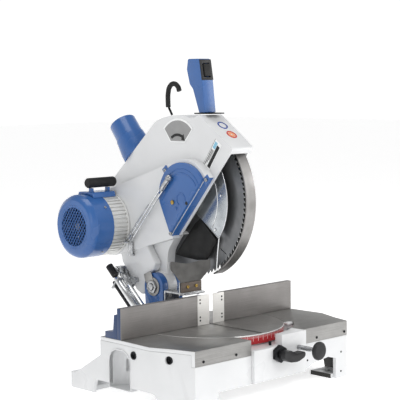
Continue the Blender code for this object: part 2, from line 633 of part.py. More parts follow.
def make_strut():
    """Return strut: a cylinder on the bracket's pin and a rod whose slotted eye takes the arm's pin."""
    bottom = Vector((STRUT_X, *above(*STRUT_BOTTOM)))
    top = Vector((STRUT_X, *above(*STRUT_TOP)))
    along = (top - bottom).normalized()
    half = 0.005
    barrel_end = bottom + along * 0.088
    barrel = rod("strut_cylinder", bottom + along * 0.006, barrel_end, STRUT_RADIUS, STEEL, sides=24)
    join(barrel, rod("strut_eye", bottom + Vector((-half, 0, 0)), bottom + Vector((half, 0, 0)), 0.0100, sides=24))
    cut(barrel, rod("strut_eye_bore", bottom + Vector((-0.02, 0, 0)), bottom + Vector((0.02, 0, 0)), 0.0045, sides=24))
    cut(barrel, rod("barrel_bore", bottom + along * 0.018, bottom + along * 0.10, ROD_RADIUS + GAP, sides=24))
    piston = rod("strut_rod", bottom + along * 0.030, top - along * 0.0075, ROD_RADIUS, STEEL, sides=24)
    slot_start = top - along * 0.0005
    slot_end = top + along * 0.0042
    eye = stadium((slot_start.y, slot_start.z), 0.0100, (slot_end.y, slot_end.z), 0.00999, 10)
    join(piston, prism("rod_eye", eye, "YZ", STRUT_X - half, STRUT_X + half))
    slot = stadium((slot_start.y, slot_start.z), 0.0057, (slot_end.y, slot_end.z), 0.00569, 8)
    cut(piston, prism("rod_slot", slot, "YZ", STRUT_X - 0.02, STRUT_X + 0.02))
    pivot("strut_axis", bottom, barrel)
    pivot("strut_slide", top, piston)


# ---------------------------------------------------------------- head casting
def head_corners():
    """Side view of the head and arm, anticlockwise, with a radius for each corner."""
    reach = ROOF_INNER + WALL
    brow = at((0, 0), reach + 0.0147, 111.0)
    return [
        from_arbor(*MOUTH_FOOT, 0.006),
        from_arbor(0.0035, -0.0752, 0.010),
        from_hinge(-0.0210, 0.0810, 0.030),
        from_hinge(-0.0160, 0.0260, 0.010),
        from_hinge(0.0200, -0.0220, 0.010),
        from_hinge(0.0540, -0.0180, 0.012),
        from_hinge(0.0960, 0.0630, 0.020),
        from_motor(0.0080, -0.0790, 0.060),
        from_motor(0.0790, -0.0150, 0.050),
        from_motor(0.0790, 0.0500, 0.045),
        from_motor(0.0300, 0.0870, 0.040),
        from_arbor(*at((0, 0), reach, 67.0), 0.020),
        *[from_arbor(*at((0, 0), reach, angle)) for angle in (75.0, 83.0, 91.0, 99.0, 105.0)],
        from_arbor(*brow, 0.010),
        from_arbor(*MOUTH_NOSE, 0.006),
    ]


def mouth_line(offset):
    """Cutter region below the line from the nose's tip to the arm, where the blade comes out."""
    nose = Vector(from_arbor(*MOUTH_NOSE)[:2])
    foot = Vector(from_arbor(*MOUTH_FOOT)[:2])
    along = (foot - nose).normalized()
    inward = Vector((-along.y, along.x))
    a = nose - along * 0.02 + inward * offset
    b = foot + along * 0.002 + inward * offset
    return [tuple(a), tuple(b), tuple(b - inward * 0.10), tuple(a - inward * 0.10)]


def hood_room_outline():
    """Inside of the hood, run out past its lower edge where the blade comes through."""
    inner = inset(head_corners(), WALL)
    foot = Vector(inner[0][:2])
    nose = Vector(inner[-1][:2])
    along = (foot - nose).normalized()
    outward = Vector((along.y, -along.x)) * 0.014
    start = nose + along * 0.010
    end = foot - along * 0.001
    mouth = [(*start, 0.0), (*(start + outward), 0.0), (*(end + outward), 0.0), (*end, 0.0)]
    return rounded(mouth + inner[1:])


def make_housing():
    outer = head_corners()
    housing = prism("head_housing", rounded(outer), "YZ", HEAD_LEFT, HEAD_RIGHT, WHITE)
    arm_face = ARM_RIGHT
    hub = rod("arm_hub", HINGE + Vector((-0.0460, 0, 0)), HINGE + Vector((-0.0202, 0, 0)), HUB_RADIUS, sides=36)
    # interior of the hood and the arm, open on the right
    cut(housing, prism("hood_room", hood_room_outline(), "YZ", HEAD_LEFT + WALL, HEAD_RIGHT + 0.01))
    # everything right of the arm below the hood
    hood_floor = ARBOR.z - 0.042
    cut(housing, box("below_hood", (arm_face, ARBOR.y - 0.30, HINGE.z - 0.10), (HEAD_RIGHT + 0.01, 0.50, hood_floor)))
    blade_room = rod("blade_room", ARBOR + Vector((-0.012, 0, 0)), ARBOR + Vector((0.012, 0, 0)), GUARD_INNER, sides=60)
    cut(housing, blade_room)
    # chamfered rear edge of the arm
    cut(housing, arm_chamfer())
    # solid foot of the arm and its hub
    foot = rounded([from_hinge(-0.0210, 0.0560, 0.004), from_hinge(-0.0170, 0.0200, 0.004), from_hinge(0.0200, -0.0180, 0.006),
                    from_hinge(0.0500, -0.0150, 0.006), from_hinge(0.0700, 0.0300, 0.004), from_hinge(0.0500, 0.0560, 0.004)])
    join(housing, prism("arm_foot", foot, "YZ", HEAD_LEFT + 0.002, arm_face - 0.0066))
    cut(housing, box("right_ear_room", (-0.0200, HINGE.y - 0.034, HINGE.z - 0.06),
                     (HEAD_RIGHT, HINGE.y + 0.036, HINGE.z + 0.034)))
    join(housing, hub)
    cut(housing, rod("hub_bore", HINGE + Vector((-0.06, 0, 0)), HINGE + Vector((0.01, 0, 0)), PIN_RADIUS + GAP, sides=28))
    cut(housing, rod("arbor_hole", ARBOR + Vector((-0.05, 0, 0)), ARBOR + Vector((-0.030, 0, 0)), 0.0150, sides=28))
    cut(housing, rod("motor_shaft_hole", MOTOR + Vector((-0.05, 0, 0)), MOTOR + Vector((-0.030, 0, 0)), 0.0120, sides=24))
    outlet = outlet_axis()
    cut(housing, rod("outlet_hole", outlet[0] - (outlet[1] - outlet[0]) * 0.9, outlet[1], OUTLET_RADIUS - 0.008, sides=28))
    return housing


def arm_chamfer():
    """Wedge that slopes the arm's left face back towards its rear edge, below the motor."""
    upper = Vector((HEAD_LEFT, *from_hinge(0.0820, 0.0920)[:2]))
    lower = Vector((HEAD_LEFT, *from_hinge(0.0290, 0.0340)[:2]))
    along = (lower - upper).normalized()
    outward = Vector((0, -along.z, along.y))
    if outward.y < 0:
        outward = -outward
    slope = Vector((0.017, 0, 0)) + outward * 0.045
    points = []
    for place in (upper - along * 0.004, lower + along * 0.075):
        points += [place, place + slope * 1.3, place + slope * 1.3 + Vector((-0.06, 0, 0)), place + Vector((-0.02, 0, 0))]
    mesh = bpy.data.meshes.new("arm_chamfer")
    shape = bmesh.new()
    for point in points:
        shape.verts.new(point)
    bmesh.ops.convex_hull(shape, input=shape.verts)
    bmesh.ops.recalc_face_normals(shape, faces=shape.faces)
    shape.to_mesh(mesh)
    shape.free()
    return link("arm_chamfer", mesh)


def make_right_cover():
    """Flat cover that closes the hood on the blade-change side."""
    outline = rounded(head_corners())
    low = HEAD_RIGHT + GAP
    cover = prism("right_cover", outline, "YZ", low, low + COVER, WHITE)
    cut(cover, box("cover_floor", (low - 0.01, ARBOR.y - 0.30, HINGE.z - 0.10), (low + 0.02, 0.50, ARBOR.z - 0.042)))
    cut(cover, prism("cover_mouth", mouth_line(0.006), "YZ", low - 0.01, low + 0.02))
    rear = [from_motor(-0.02, -0.2)[:2], from_motor(0.20, -0.2)[:2], from_motor(0.20, 0.2)[:2], from_motor(0.005, 0.2)[:2]]
    cut(cover, prism("cover_rear", rear, "YZ", low - 0.01, low + 0.02))
    return cover


def trim_rear(housing):
    """The hood's right half ends behind the blade, where the cover ends."""
    rear = [from_motor(0.0015, -0.2)[:2], from_motor(0.20, -0.2)[:2], from_motor(0.20, 0.2)[:2], from_motor(0.009, 0.2)[:2]]
    cut(housing, prism("hood_rear", rear, "YZ", ARM_RIGHT, HEAD_RIGHT + 0.01))


def cover_centre():
    return from_arbor(-0.0455, 0.0108)[:2]


def make_belt_case():
    """Raised casting over the belt, from the arbor's cover to the motor."""
    right = HEAD_LEFT - GAP
    front = cover_centre()
    motor = (MOTOR.y, MOTOR.z)
    case = prism("belt_case", stadium(front, 0.0820, motor, 0.0760, 20), "YZ", BELT_CASE_LEFT, right, WHITE)
    cut(case, prism("case_mouth", mouth_line(0.0045), "YZ", BELT_CASE_LEFT - 0.01, right + 0.01))
    cut(case, prism("case_room", stadium((ARBOR.y, ARBOR.z), 0.0350, motor, 0.0480, 16), "YZ",
                    BELT_CASE_LEFT + WALL, right + 0.01))
    cut(case, rod("case_arbor_hole", ARBOR + Vector((-0.07, 0, 0)), ARBOR + Vector((-0.05, 0, 0)), 0.0270, sides=28))
    cut(case, rod("case_motor_hole", MOTOR + Vector((-0.07, 0, 0)), MOTOR + Vector((-0.05, 0, 0)), 0.0120, sides=24))
    return case


def make_arbor_cover():
    """Drop-shaped blue cover with a straight lower edge along the blade mouth."""
    left = BELT_CASE_LEFT - GAP - ARBOR_COVER_DEPTH
    right = BELT_CASE_LEFT - GAP
    centre = cover_centre()
    tip = from_arbor(-0.0080, -0.0800)[:2]
    outline = [tip] + [at(centre, 0.0750, a) for a in range(-12, 181, 8)]
    cover = prism("arbor_cover", outline, "YZ", left, right, BLUE)
    cut(cover, prism("cover_edge", mouth_line(0.0060), "YZ", left - 0.01, right + 0.01))
    room = rod("cover_room", ARBOR + Vector((-0.0650, 0, 0)), ARBOR + Vector((-0.0550, 0, 0)), 0.0265, sides=28)
    cut(cover, room)
    soften(cover, 0.0030, 1, 60)
    return cover


def make_handle():
    """Upright grip with a plate on its front face and the trigger in it."""
    left = -0.020
    right = left + HANDLE_WIDTH
    base = head_top() + 0.004
    corners = [(-0.0080, 0.0, 0.002), (0.0110, 0.0, 0.002), (0.0300, 0.0520, 0.010), (0.0400, 0.0620, 0.010),
               (0.0490, 0.0950, 0.006), (0.0450, 0.1180, 0.004), (0.0090, 0.1180, 0.004), (0.0000, 0.0720, 0.008)]
    handle = prism("handle", rounded([(y, base + z, r) for y, z, r in corners]), "YZ", left, right, BLUE)
    gasket = prism("handle_gasket", [(-0.0300, base - 0.0030), (0.0240, base - 0.0030), (0.0240, base - GAP),
                                     (-0.0300, base - GAP)], "YZ", left - 0.002, right + 0.004, RUBBER)
    slope = Vector((0.0, 0.0090, 0.0460)).normalized()
    start = Vector((0.0, 0.0003, base + 0.0740))
    out = Vector((0.0, -slope.z, slope.y))
    pocket_corners = [start - out * 0.008, start + slope * 0.0400 - out * 0.008, start + slope * 0.0400 + out * 0.004,
                      start + out * 0.004]
    cut(handle, prism("switch_pocket", [(p.y, p.z) for p in pocket_corners], "YZ", left + 0.004, right - 0.004))
    plate_corners = [start + slope * 0.0005 - out * 0.0006, start + slope * 0.0395 - out * 0.0006,
                     start + slope * 0.0395 + out * 0.0016, start + slope * 0.0005 + out * 0.0016]
    plate = prism("switch_plate", [(p.y, p.z) for p in plate_corners], "YZ", left + 0.0045, right - 0.0045, BLACK)
    middle = (left + right) / 2
    window = box("trigger_window", (middle - 0.0075, -0.05, base + 0.0800), (middle + 0.0075, 0.05, base + 0.1060))
    cut(plate, window)
    trigger_corners = [start + slope * 0.0070 - out * 0.0050, start + slope * 0.0315 - out * 0.0050,
                       start + slope * 0.0315 + out * 0.0042, start + slope * 0.0070 + out * 0.0042]
    trigger = prism("trigger", [(p.y, p.z) for p in trigger_corners], "YZ", middle - 0.0070, middle + 0.0070, BLACK)
    pivot("trigger_slide", start + slope * 0.02, trigger)
    return handle, gasket, plate, trigger


def head_top():
    """Height of the head's flat top under the handle."""
    brow = at((0, 0), ROOF_INNER + WALL + 0.0147, 111.0)
    return ARBOR.z + brow[1] + 0.0003


def make_hook():
    """Bent wire for hanging up the cable, with a sleeve."""
    x = -0.020
    base = ARBOR.z + 0.1860
    wire = tube("cable_hook", [(x, 0.0980, base + 0.0030), (x, 0.1040, base + 0.0100), (x, 0.1110, base + 0.0240),
                               (x, 0.1100, base + 0.0500), (x, 0.1000, base + 0.0670), (x, 0.0840, base + 0.0700),
                               (x, 0.0720, base + 0.0560)], 0.0040, RUBBER, 2, 4)
    return wire


def outlet_axis():
    """Middle of the outlet's foot, and the middle of its mouth."""
    foot = Vector((-0.004, *from_arbor(0.1700, 0.0960)[:2]))
    mouth = Vector((-0.004, *from_arbor(0.2265, 0.1658)[:2]))
    return foot, mouth


def make_outlet():
    """Dust outlet: a flared collar on the hood and a thinner spigot for a hose."""
    foot, mouth = outlet_axis()
    along = mouth - foot
    length = along.length
    wall = 0.0025
    start = -0.030
    seam = length * 0.52
    profile = [(OUTLET_RADIUS + 0.0065, start), (OUTLET_RADIUS + 0.0065, 0.010), (OUTLET_RADIUS + 0.0028, seam - 0.004),
               (OUTLET_RADIUS + 0.0028, seam), (OUTLET_RADIUS + 0.0008, seam + 0.0015), (OUTLET_RADIUS, length),
               (OUTLET_RADIUS - wall, length), (OUTLET_RADIUS - wall, seam - 0.002), (OUTLET_RADIUS + 0.002, start)]
    spigot = turned("dust_outlet", [(r, h) for r, h in reversed(profile)], foot, along, BLUE, sides=36)
    trim = prism("outlet_trim", rounded(inset(head_corners(), -GAP)), "YZ", -0.060, 0.060)
    cut(spigot, trim)
    return spigot


# ---------------------------------------------------------------- drive
def make_bearings():
    """Bearing housing on the inside of the head's left wall, and the two bearings in it."""
    left = HEAD_LEFT + WALL + GAP
    right = -0.0130
    outer = 0.0360
    lip = BEARING_RADIUS - 0.0030
    seat = BEARING_RADIUS + 0.0002
    length = right - left
    housing = turned("bearing_housing", [(lip, 0.0), (outer + 0.006, 0.0), (outer + 0.006, 0.004), (outer, 0.004),
                                         (outer, length), (seat, length), (seat, 0.0015), (lip, 0.0015), (lip, 0.0)],
                     (left, ARBOR.y, ARBOR.z), (1, 0, 0), ALUMINIUM, sides=36)
    bearing = turned("arbor_bearing", [(ARBOR_RADIUS + 0.0002, 0), (BEARING_RADIUS, 0), (BEARING_RADIUS, BEARING_WIDTH),
                                       (ARBOR_RADIUS + 0.0002, BEARING_WIDTH)],
                     (left + 0.0018, ARBOR.y, ARBOR.z), (1, 0, 0), STEEL, sides=28)
    return [housing, bearing]


def blade_outline():
    """Saw blade with raked teeth."""
    teeth = 54
    root = BLADE_RADIUS - 0.0075
    outline = []
    pitch = 360 / teeth
    for i in range(teeth):
        start = i * pitch
        outline.append(at((ARBOR.y, ARBOR.z), root, start))
        outline.append(at((ARBOR.y, ARBOR.z), BLADE_RADIUS - 0.0030, start + pitch * 0.62))
        outline.append(at((ARBOR.y, ARBOR.z), BLADE_RADIUS, start + pitch * 0.96))
    return outline


def make_arbor():
    half = BLADE_PLATE / 2
    bore = 0.0150
    blade = prism("saw_blade", [blade_outline(), circle((ARBOR.y, ARBOR.z), bore, 36)], "YZ", -half, half, BLADE_STEEL)
    seat = half + GAP
    inner = turned("inner_flange", [(ARBOR_RADIUS + GAP, -0.0105), (0.0170, -0.0105), (FLANGE_RADIUS, -0.0075),
                                    (FLANGE_RADIUS, -seat), (bore - GAP, -seat), (bore - GAP, half - 0.0006),
                                    (ARBOR_RADIUS + GAP, half - 0.0006)], ARBOR, (1, 0, 0), STEEL, sides=36)
    outer = turned("outer_flange", [(ARBOR_RADIUS + GAP, seat), (FLANGE_RADIUS, seat), (FLANGE_RADIUS, 0.0055),
                                    (0.0200, 0.0080), (ARBOR_RADIUS + GAP, 0.0080)], ARBOR, (1, 0, 0), STEEL, sides=36)
    shaft = rod("arbor_shaft", ARBOR + Vector((-0.0560, 0, 0)), ARBOR + Vector((0.0095, 0, 0)), ARBOR_RADIUS, STEEL, sides=28)
    screw = prism("arbor_screw", circle((ARBOR.y, ARBOR.z), 0.0140, 6), "YZ", 0.0098, 0.0180, STEEL)
    pulley = make_pulley("arbor_pulley", ARBOR, ARBOR_PULLEY, ARBOR_RADIUS)
    pieces = [blade, inner, outer, shaft, screw, pulley]
    pivot("arbor_axis", ARBOR, *pieces)
    return pieces


def pulley_left():
    return BELT_CASE_LEFT + WALL + 0.0030


def make_pulley(name, centre, radius, bore):
    """Flanged pulley; the belt runs between its flanges."""
    width = PULLEY_WIDTH
    profile = [(bore + GAP, 0), (radius, 0), (radius, 0.0012), (radius - 0.0020, 0.0012), (radius - 0.0020, width - 0.0012),
               (radius, width - 0.0012), (radius, width), (bore + GAP, width)]
    return turned(name, profile, (pulley_left(), centre.y, centre.z), (1, 0, 0), ALUMINIUM, sides=28)


def make_belt():
    inner = 0.0020 - GAP
    outline = stadium((ARBOR.y, ARBOR.z), ARBOR_PULLEY + 0.0015, (MOTOR.y, MOTOR.z), MOTOR_PULLEY + 0.0015, 20)
    hole = stadium((ARBOR.y, ARBOR.z), ARBOR_PULLEY - inner, (MOTOR.y, MOTOR.z), MOTOR_PULLEY - inner, 20)
    low = pulley_left() + 0.0015
    return prism("drive_belt", [outline, hole], "YZ", low, low + PULLEY_WIDTH - 0.0030, RUBBER)


def make_motor():
    """Finned frame, fan cover with an open grille, and the rotor that carries the fan and the pulley."""
    right = BELT_CASE_LEFT - GAP
    flange_left = right - 0.0050
    frame_left = right - MOTOR_FRAME
    centre = (MOTOR.y, MOTOR.z)
    fins = 28
    outline = []
    for i in range(fins):
        start = 360 * i / fins
        outline += [at(centre, MOTOR_RADIUS - 0.0040, start), at(centre, MOTOR_RADIUS - 0.0040, start + 5.6),
                    at(centre, MOTOR_RADIUS - 0.0004, start + 6.6), at(centre, MOTOR_RADIUS - 0.0004, start + 11.6)]
    frame = prism("motor_frame", [outline, circle(centre, MOTOR_RADIUS - 0.0120, 36)], "YZ", frame_left, flange_left, ALUMINIUM)
    join(frame, prism("frame_flange", [circle(centre, MOTOR_RADIUS + 0.0015, 36), circle(centre, 0.0130, 32)], "YZ",
                      flange_left - 0.0002, right))
    cover_right = frame_left - GAP
    cover = turned("fan_cover", [(MOTOR_RADIUS - 0.0030, 0), (MOTOR_RADIUS, 0), (MOTOR_RADIUS, -MOTOR_COVER + 0.014),
                                 (MOTOR_RADIUS - 0.004, -MOTOR_COVER + 0.005), (MOTOR_RADIUS - 0.012, -MOTOR_COVER),
                                 (GRILLE_RADIUS + GAP, -MOTOR_COVER), (GRILLE_RADIUS + GAP, -MOTOR_COVER + 0.003),
                                 (MOTOR_RADIUS - 0.012, -MOTOR_COVER + 0.004), (MOTOR_RADIUS - 0.0030, -MOTOR_COVER + 0.015)],
                   (cover_right, MOTOR.y, MOTOR.z), (1, 0, 0), BLUE, sides=36)
    grille_left = cover_right - MOTOR_COVER
    grille = prism("fan_grille", [circle(centre, GRILLE_RADIUS, 36)] + grille_holes(centre), "YZ",
                   grille_left, grille_left + 0.0025, BLUE)
    join(frame, prism("motor_end_plate", [circle(centre, MOTOR_RADIUS - 0.0100, 36), circle(centre, 0.0085, 32)], "YZ",
                      frame_left + 0.001, frame_left + 0.006))
    rotor = turned("motor_rotor", [(0, grille_left + 0.010), (0.0080, grille_left + 0.010), (0.0080, frame_left + 0.008),
                                   (0.0420, frame_left + 0.008), (0.0420, flange_left - 0.004), (0.0080, flange_left - 0.004),
                                   (0.0080, pulley_left() + PULLEY_WIDTH + 0.002), (0, pulley_left() + PULLEY_WIDTH + 0.002)],
                   (0, MOTOR.y, MOTOR.z), (1, 0, 0), STEEL, sides=28)
    pulley = make_pulley("motor_pulley", MOTOR, MOTOR_PULLEY, 0.0080)
    fan = make_fan(grille_left + 0.014)
    pivot("motor_axis", MOTOR, rotor, pulley, fan)
    return frame, cover, grille


def grille_holes(centre):
    """Diamond openings on a slanted grid, kept clear of the grille's edge."""
    holes = []
    step = 0.0140
    half = 0.0055
    for row in range(-7, 8):
        for column in range(-7, 8):
            if (row + column) % 2:
                continue
            a = row * step / 2
            b = column * step / 2
            if math.hypot(a, b) > GRILLE_RADIUS - 0.0080:
                continue
            holes.append([(centre[0] + a + half, centre[1] + b), (centre[0] + a, centre[1] + b + half),
                          (centre[0] + a - half, centre[1] + b), (centre[0] + a, centre[1] + b - half)])
    return holes


def make_fan(left):
    centre = (MOTOR.y, MOTOR.z)
    fan = prism("cooling_fan", [circle(centre, 0.0200, 32), circle(centre, 0.0083, 32)], "YZ", left, left + 0.016, BLACK)
    for i in range(7):
        angle = 360 * i / 7
        blade = [at(centre, 0.0190, angle - 3), at(centre, 0.0560, angle + 11), at(centre, 0.0560, angle + 13.5),
                 at(centre, 0.0190, angle + 4)]
        join(fan, prism(f"fan_blade_{i}", blade, "YZ", left + 0.001, left + 0.015))
    return fan


def make_motor_trim():
    """Terminal box on top of the motor, and the rubber carrying grip above it."""
    left = -0.1340
    right = -0.0680
    top = MOTOR.z + MOTOR_RADIUS + 0.0050
    outline = rounded([(MOTOR.y - 0.036, MOTOR.z + 0.056, 0.002), (MOTOR.y + 0.026, MOTOR.z + 0.056, 0.002),
                       (MOTOR.y + 0.022, top, 0.006), (MOTOR.y - 0.030, top, 0.006)])
    case = prism("terminal_box", outline, "YZ", left, right, BLUE)
    for name, x in (("grip_post_left", left + 0.006), ("grip_post_right", right - 0.012)):
        join(case, box(name, (x, MOTOR.y - 0.020, top - 0.004), (x + 0.006, MOTOR.y - 0.008, top + 0.009)))
    cut(case, rod("terminal_seat", MOTOR + Vector((-0.20, 0, 0)), MOTOR + Vector((0.0, 0, 0)), MOTOR_RADIUS + 2 * GAP,
                  sides=36))
    grip = turned("carry_grip", [(0, 0), (0.0095, 0), (0.0115, 0.003), (0.0115, 0.077), (0.0095, 0.080), (0, 0.080)],
                  (-0.1370, MOTOR.y - 0.014, top + 0.0210), (1, 0, 0), RUBBER, sides=24)
    return case, grip


def make_tie_rods():
    """Two stay rods from a bracket on the arm to a lug beside the arbor's cover."""
    x = BELT_CASE_LEFT - 0.0150
    top = Vector((x, *from_arbor(-0.0070, 0.0480)[:2]))
    bottom = Vector((x, *from_hinge(0.0760, 0.0980)[:2]))
    along = (top - bottom).normalized()
    side = Vector((0, along.z, -along.y)) * 0.0042
    long_rod = rod("tie_rod_long", bottom + along * 0.008 - side, top - along * 0.005 - side, 0.0022, STEEL, sides=16)
    join(long_rod, rod("tie_rod_ball", top - along * 0.0100 - side * 0.6, top - side * 0.6, 0.0052, sides=16))
    bracket = box("tie_rod_bracket", (x - 0.006, bottom.y - 0.0075, bottom.z - 0.003),
                  (BELT_CASE_LEFT - 0.0035, bottom.y + 0.0075, bottom.z), STEEL)
    join(bracket, box("bracket_leg", (BELT_CASE_LEFT - 0.0060, bottom.y - 0.0075, bottom.z - 0.034),
                      (BELT_CASE_LEFT - 0.0035, bottom.y + 0.0075, bottom.z - 0.001)))
    join(bracket, box("bracket_foot", (BELT_CASE_LEFT - 0.0060, bottom.y - 0.0075, bottom.z - 0.034),
                      (HEAD_LEFT - 0.0010, bottom.y + 0.0075, bottom.z - 0.031)))
    join(bracket, rod("tie_rod_short", bottom - along * 0.002 + side, bottom + along * 0.118 + side, 0.0022, sides=16))
    return long_rod, bracket


def make_strut_plate():
    """Steel plate on the arm with the pin that the strut pulls on."""
    y, z = above(*STRUT_TOP)
    corners = rounded([(y + 0.010, z + 0.012, 0.004), (y - 0.012, z + 0.014, 0.004), (y - 0.050, z - 0.022, 0.004),
                       (y - 0.040, z - 0.034, 0.004), (y + 0.009, z - 0.010, 0.004)])
    plate = prism("strut_plate", corners, "YZ", STRUT_X + 0.0088, STRUT_X + 0.0118, STEEL)
    join(plate, rod("strut_top_pin", (STRUT_X - 0.008, y, z), (STRUT_X + 0.0100, y, z), 0.0042, sides=24))
    join(plate, box("strut_plate_leg", (STRUT_X + 0.0100, y - 0.046, z - 0.022), (-0.0360, y - 0.030, z - 0.012)))
    return plate


# ---------------------------------------------------------------- movable guard
def make_guard():
    """Guard that turns about the bearing housing: polished left sector, right shell, tie wire and rubber flap."""
    centre = (ARBOR.y, ARBOR.z)
    left = -0.0165
    low_end = 180 + 59
    high_end = 180 - 38
    sector_low = 180 + 36.5
    sector = [at(centre, 0.0364, a) for a in range(0, -361, -12)][:-1]
    outline = ([at(centre, 0.0440, a) for a in range(int(sector_low) + 6, 360 + 134, 10)]
               + arc(centre, 0.1360, high_end - 8, sector_low, 20))
    plate = prism("guard_left_sector", [outline, sector], "YZ", left, left + SHEET, POLISHED)
    shell_right = HEAD_RIGHT - 0.0010
    ring = arc(centre, GUARD_OUTER, high_end, low_end, 28)
    disc = ring + arc(centre, 0.0480, low_end, high_end, 8)
    shell = prism("guard_right_shell", disc, "YZ", shell_right - SHEET, shell_right, ALUMINIUM)
    rim = ring + arc(centre, GUARD_INNER, low_end, high_end, 28)
    join(shell, prism("guard_rim", rim, "YZ", -0.0040, shell_right - 0.0005))
    corner = at(centre, 0.1300, sector_low - 1)
    end = at(centre, GUARD_INNER + 0.0007, low_end - 1.0)
    behind = left + SHEET + GAP + 0.0012
    wire = [(behind, *corner), (behind, *at(centre, 0.1500, low_end - 11)), (behind, *end), (-0.0056, *end)]
    stay = tube("guard_stay", wire, 0.0012, STEEL, 2, 0)
    flap = ([at(centre, 0.0600, a) for a in (222, 232, 242)]
            + [at(centre, 0.1340, 286), at(centre, 0.1330, 272), at(centre, 0.1400, 256), at(centre, 0.1480, 243),
               at(centre, 0.1300, 222)])
    curtain = prism("guard_flap", flap, "YZ", -0.0119, -0.0107, RUBBER)
    return plate, shell, stay, curtain


# ---------------------------------------------------------------- assembly
def main():
    base = make_base()
    clear_strip(base)
    make_table()
    make_front_block()
    make_fences()
    make_pointer()
    make_lock()
    make_index()
    turntable = [*make_turntable(), *make_hinge_bracket(), *make_deflector()]
    pivot("turntable_axis", (0, 0, TABLE), *turntable)
    make_strut()
    housing = make_housing()
    trim_rear(housing)
    handle, gasket, plate, trigger = make_handle()
    head = [housing, make_right_cover(), make_belt_case(), make_arbor_cover(), handle, gasket, plate, make_hook(),
            make_outlet(), *make_bearings(), make_belt(), *make_motor_trim(), *make_tie_rods(),
            make_strut_plate()]
    pivot("chop_axis", HINGE, *head, *make_motor())
    make_arbor()
    pivot("guard_axis", ARBOR, *make_guard())
    for obj in PARTS.objects:
        obj.data.shade_smooth()
        obj.data.set_sharp_from_angle(angle=math.radians(35))


clear_scene()
PARTS = new_collection("mitre_saw")
CUTTERS = new_collection("cutters")
main()
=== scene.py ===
"""Looks of the chop and mitre saw: finished castings, sheet guards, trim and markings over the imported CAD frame."""

import json
import math

import bpy
from mathutils import Matrix, Vector

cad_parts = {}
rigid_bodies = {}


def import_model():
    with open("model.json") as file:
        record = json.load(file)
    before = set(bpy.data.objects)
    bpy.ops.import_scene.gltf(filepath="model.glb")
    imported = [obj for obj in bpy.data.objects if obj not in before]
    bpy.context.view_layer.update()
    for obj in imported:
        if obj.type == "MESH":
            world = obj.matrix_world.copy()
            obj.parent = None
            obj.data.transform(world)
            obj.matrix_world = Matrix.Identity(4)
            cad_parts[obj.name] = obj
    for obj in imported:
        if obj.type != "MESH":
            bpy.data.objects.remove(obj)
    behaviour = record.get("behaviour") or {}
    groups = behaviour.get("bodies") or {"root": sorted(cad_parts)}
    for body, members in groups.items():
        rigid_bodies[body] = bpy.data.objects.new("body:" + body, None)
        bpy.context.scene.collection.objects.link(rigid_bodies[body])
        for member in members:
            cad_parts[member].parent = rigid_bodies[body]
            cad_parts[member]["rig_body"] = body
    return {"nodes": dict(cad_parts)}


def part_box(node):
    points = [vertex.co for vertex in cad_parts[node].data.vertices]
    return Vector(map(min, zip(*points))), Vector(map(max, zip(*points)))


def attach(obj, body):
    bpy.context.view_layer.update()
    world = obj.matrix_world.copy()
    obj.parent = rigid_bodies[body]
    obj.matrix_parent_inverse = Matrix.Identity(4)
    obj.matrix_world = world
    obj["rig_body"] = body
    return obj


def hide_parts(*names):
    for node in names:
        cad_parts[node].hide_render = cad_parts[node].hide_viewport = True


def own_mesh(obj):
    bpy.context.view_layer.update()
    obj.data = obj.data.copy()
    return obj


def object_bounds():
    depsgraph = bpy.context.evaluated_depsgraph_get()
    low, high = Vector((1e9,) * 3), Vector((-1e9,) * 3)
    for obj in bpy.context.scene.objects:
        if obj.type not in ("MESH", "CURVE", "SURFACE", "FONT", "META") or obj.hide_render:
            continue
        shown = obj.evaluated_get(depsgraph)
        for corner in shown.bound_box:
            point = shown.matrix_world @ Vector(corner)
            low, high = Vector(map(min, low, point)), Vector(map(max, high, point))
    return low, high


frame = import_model()
cad_low, cad_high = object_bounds()

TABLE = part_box("turntable")[1].z
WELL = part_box("turntable")[1].x
blade_low, blade_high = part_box("saw_blade")
ARBOR = (blade_low + blade_high) / 2
BLADE_RADIUS = (blade_high.y - blade_low.y) / 2
cover_low, cover_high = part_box("fan_cover")
MOTOR = Vector((0.0, (cover_low.y + cover_high.y) / 2, (cover_low.z + cover_high.z) / 2))
pin_low, pin_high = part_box("hinge_pin")
HINGE = Vector((0.0, (pin_low.y + pin_high.y) / 2, (pin_low.z + pin_high.z) / 2))
HEAD_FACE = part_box("belt_case")[1].x + 0.0003        # left face of the head casting
CASE_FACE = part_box("belt_case")[0].x                 # left face of the belt case
COVER_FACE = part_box("arbor_cover")[0].x              # left face of the blue arbor cover
BASE_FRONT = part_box("table_left")[0].y
BAR_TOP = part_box("deflector_bar")[1].z


# ------------------------------------------------------------------ materials
# A noise value lies mostly between these, so they are spread over the whole run from one tone or gloss to the other.
NOISE_RUN = {"From Min": 0.3, "From Max": 0.7}


def linear(code):
    """Linear RGBA of an sRGB hex colour."""
    channels = [int(code[i:i + 2], 16) / 255 for i in (1, 3, 5)]
    return tuple(c / 12.92 if c <= 0.04045 else ((c + 0.055) / 1.055) ** 2.4 for c in channels) + (1.0,)


def add(tree, kind, inputs=None, **settings):
    """A shader node with its settings; an input is a value, or (node, output) to link."""
    made = tree.nodes.new("ShaderNode" + kind)
    for key, value in settings.items():
        setattr(made, key, value)
    for key, value in (inputs or {}).items():
        if isinstance(value, tuple) and isinstance(value[0], bpy.types.Node):
            tree.links.new(value[0].outputs[value[1]], made.inputs[key])
        else:
            made.inputs[key].default_value = value
    return made


def start(name, **sockets):
    """A new material: its tree, its Principled shader with the uniform values set, and Object coordinates."""
    material = bpy.data.materials.new(name)
    material.use_nodes = True
    tree = material.node_tree
    shader = tree.nodes["Principled BSDF"]
    for key, value in sockets.items():
        shader.inputs[key.replace("_", " ")].default_value = value
    return material, tree, shader, add(tree, "TexCoord")


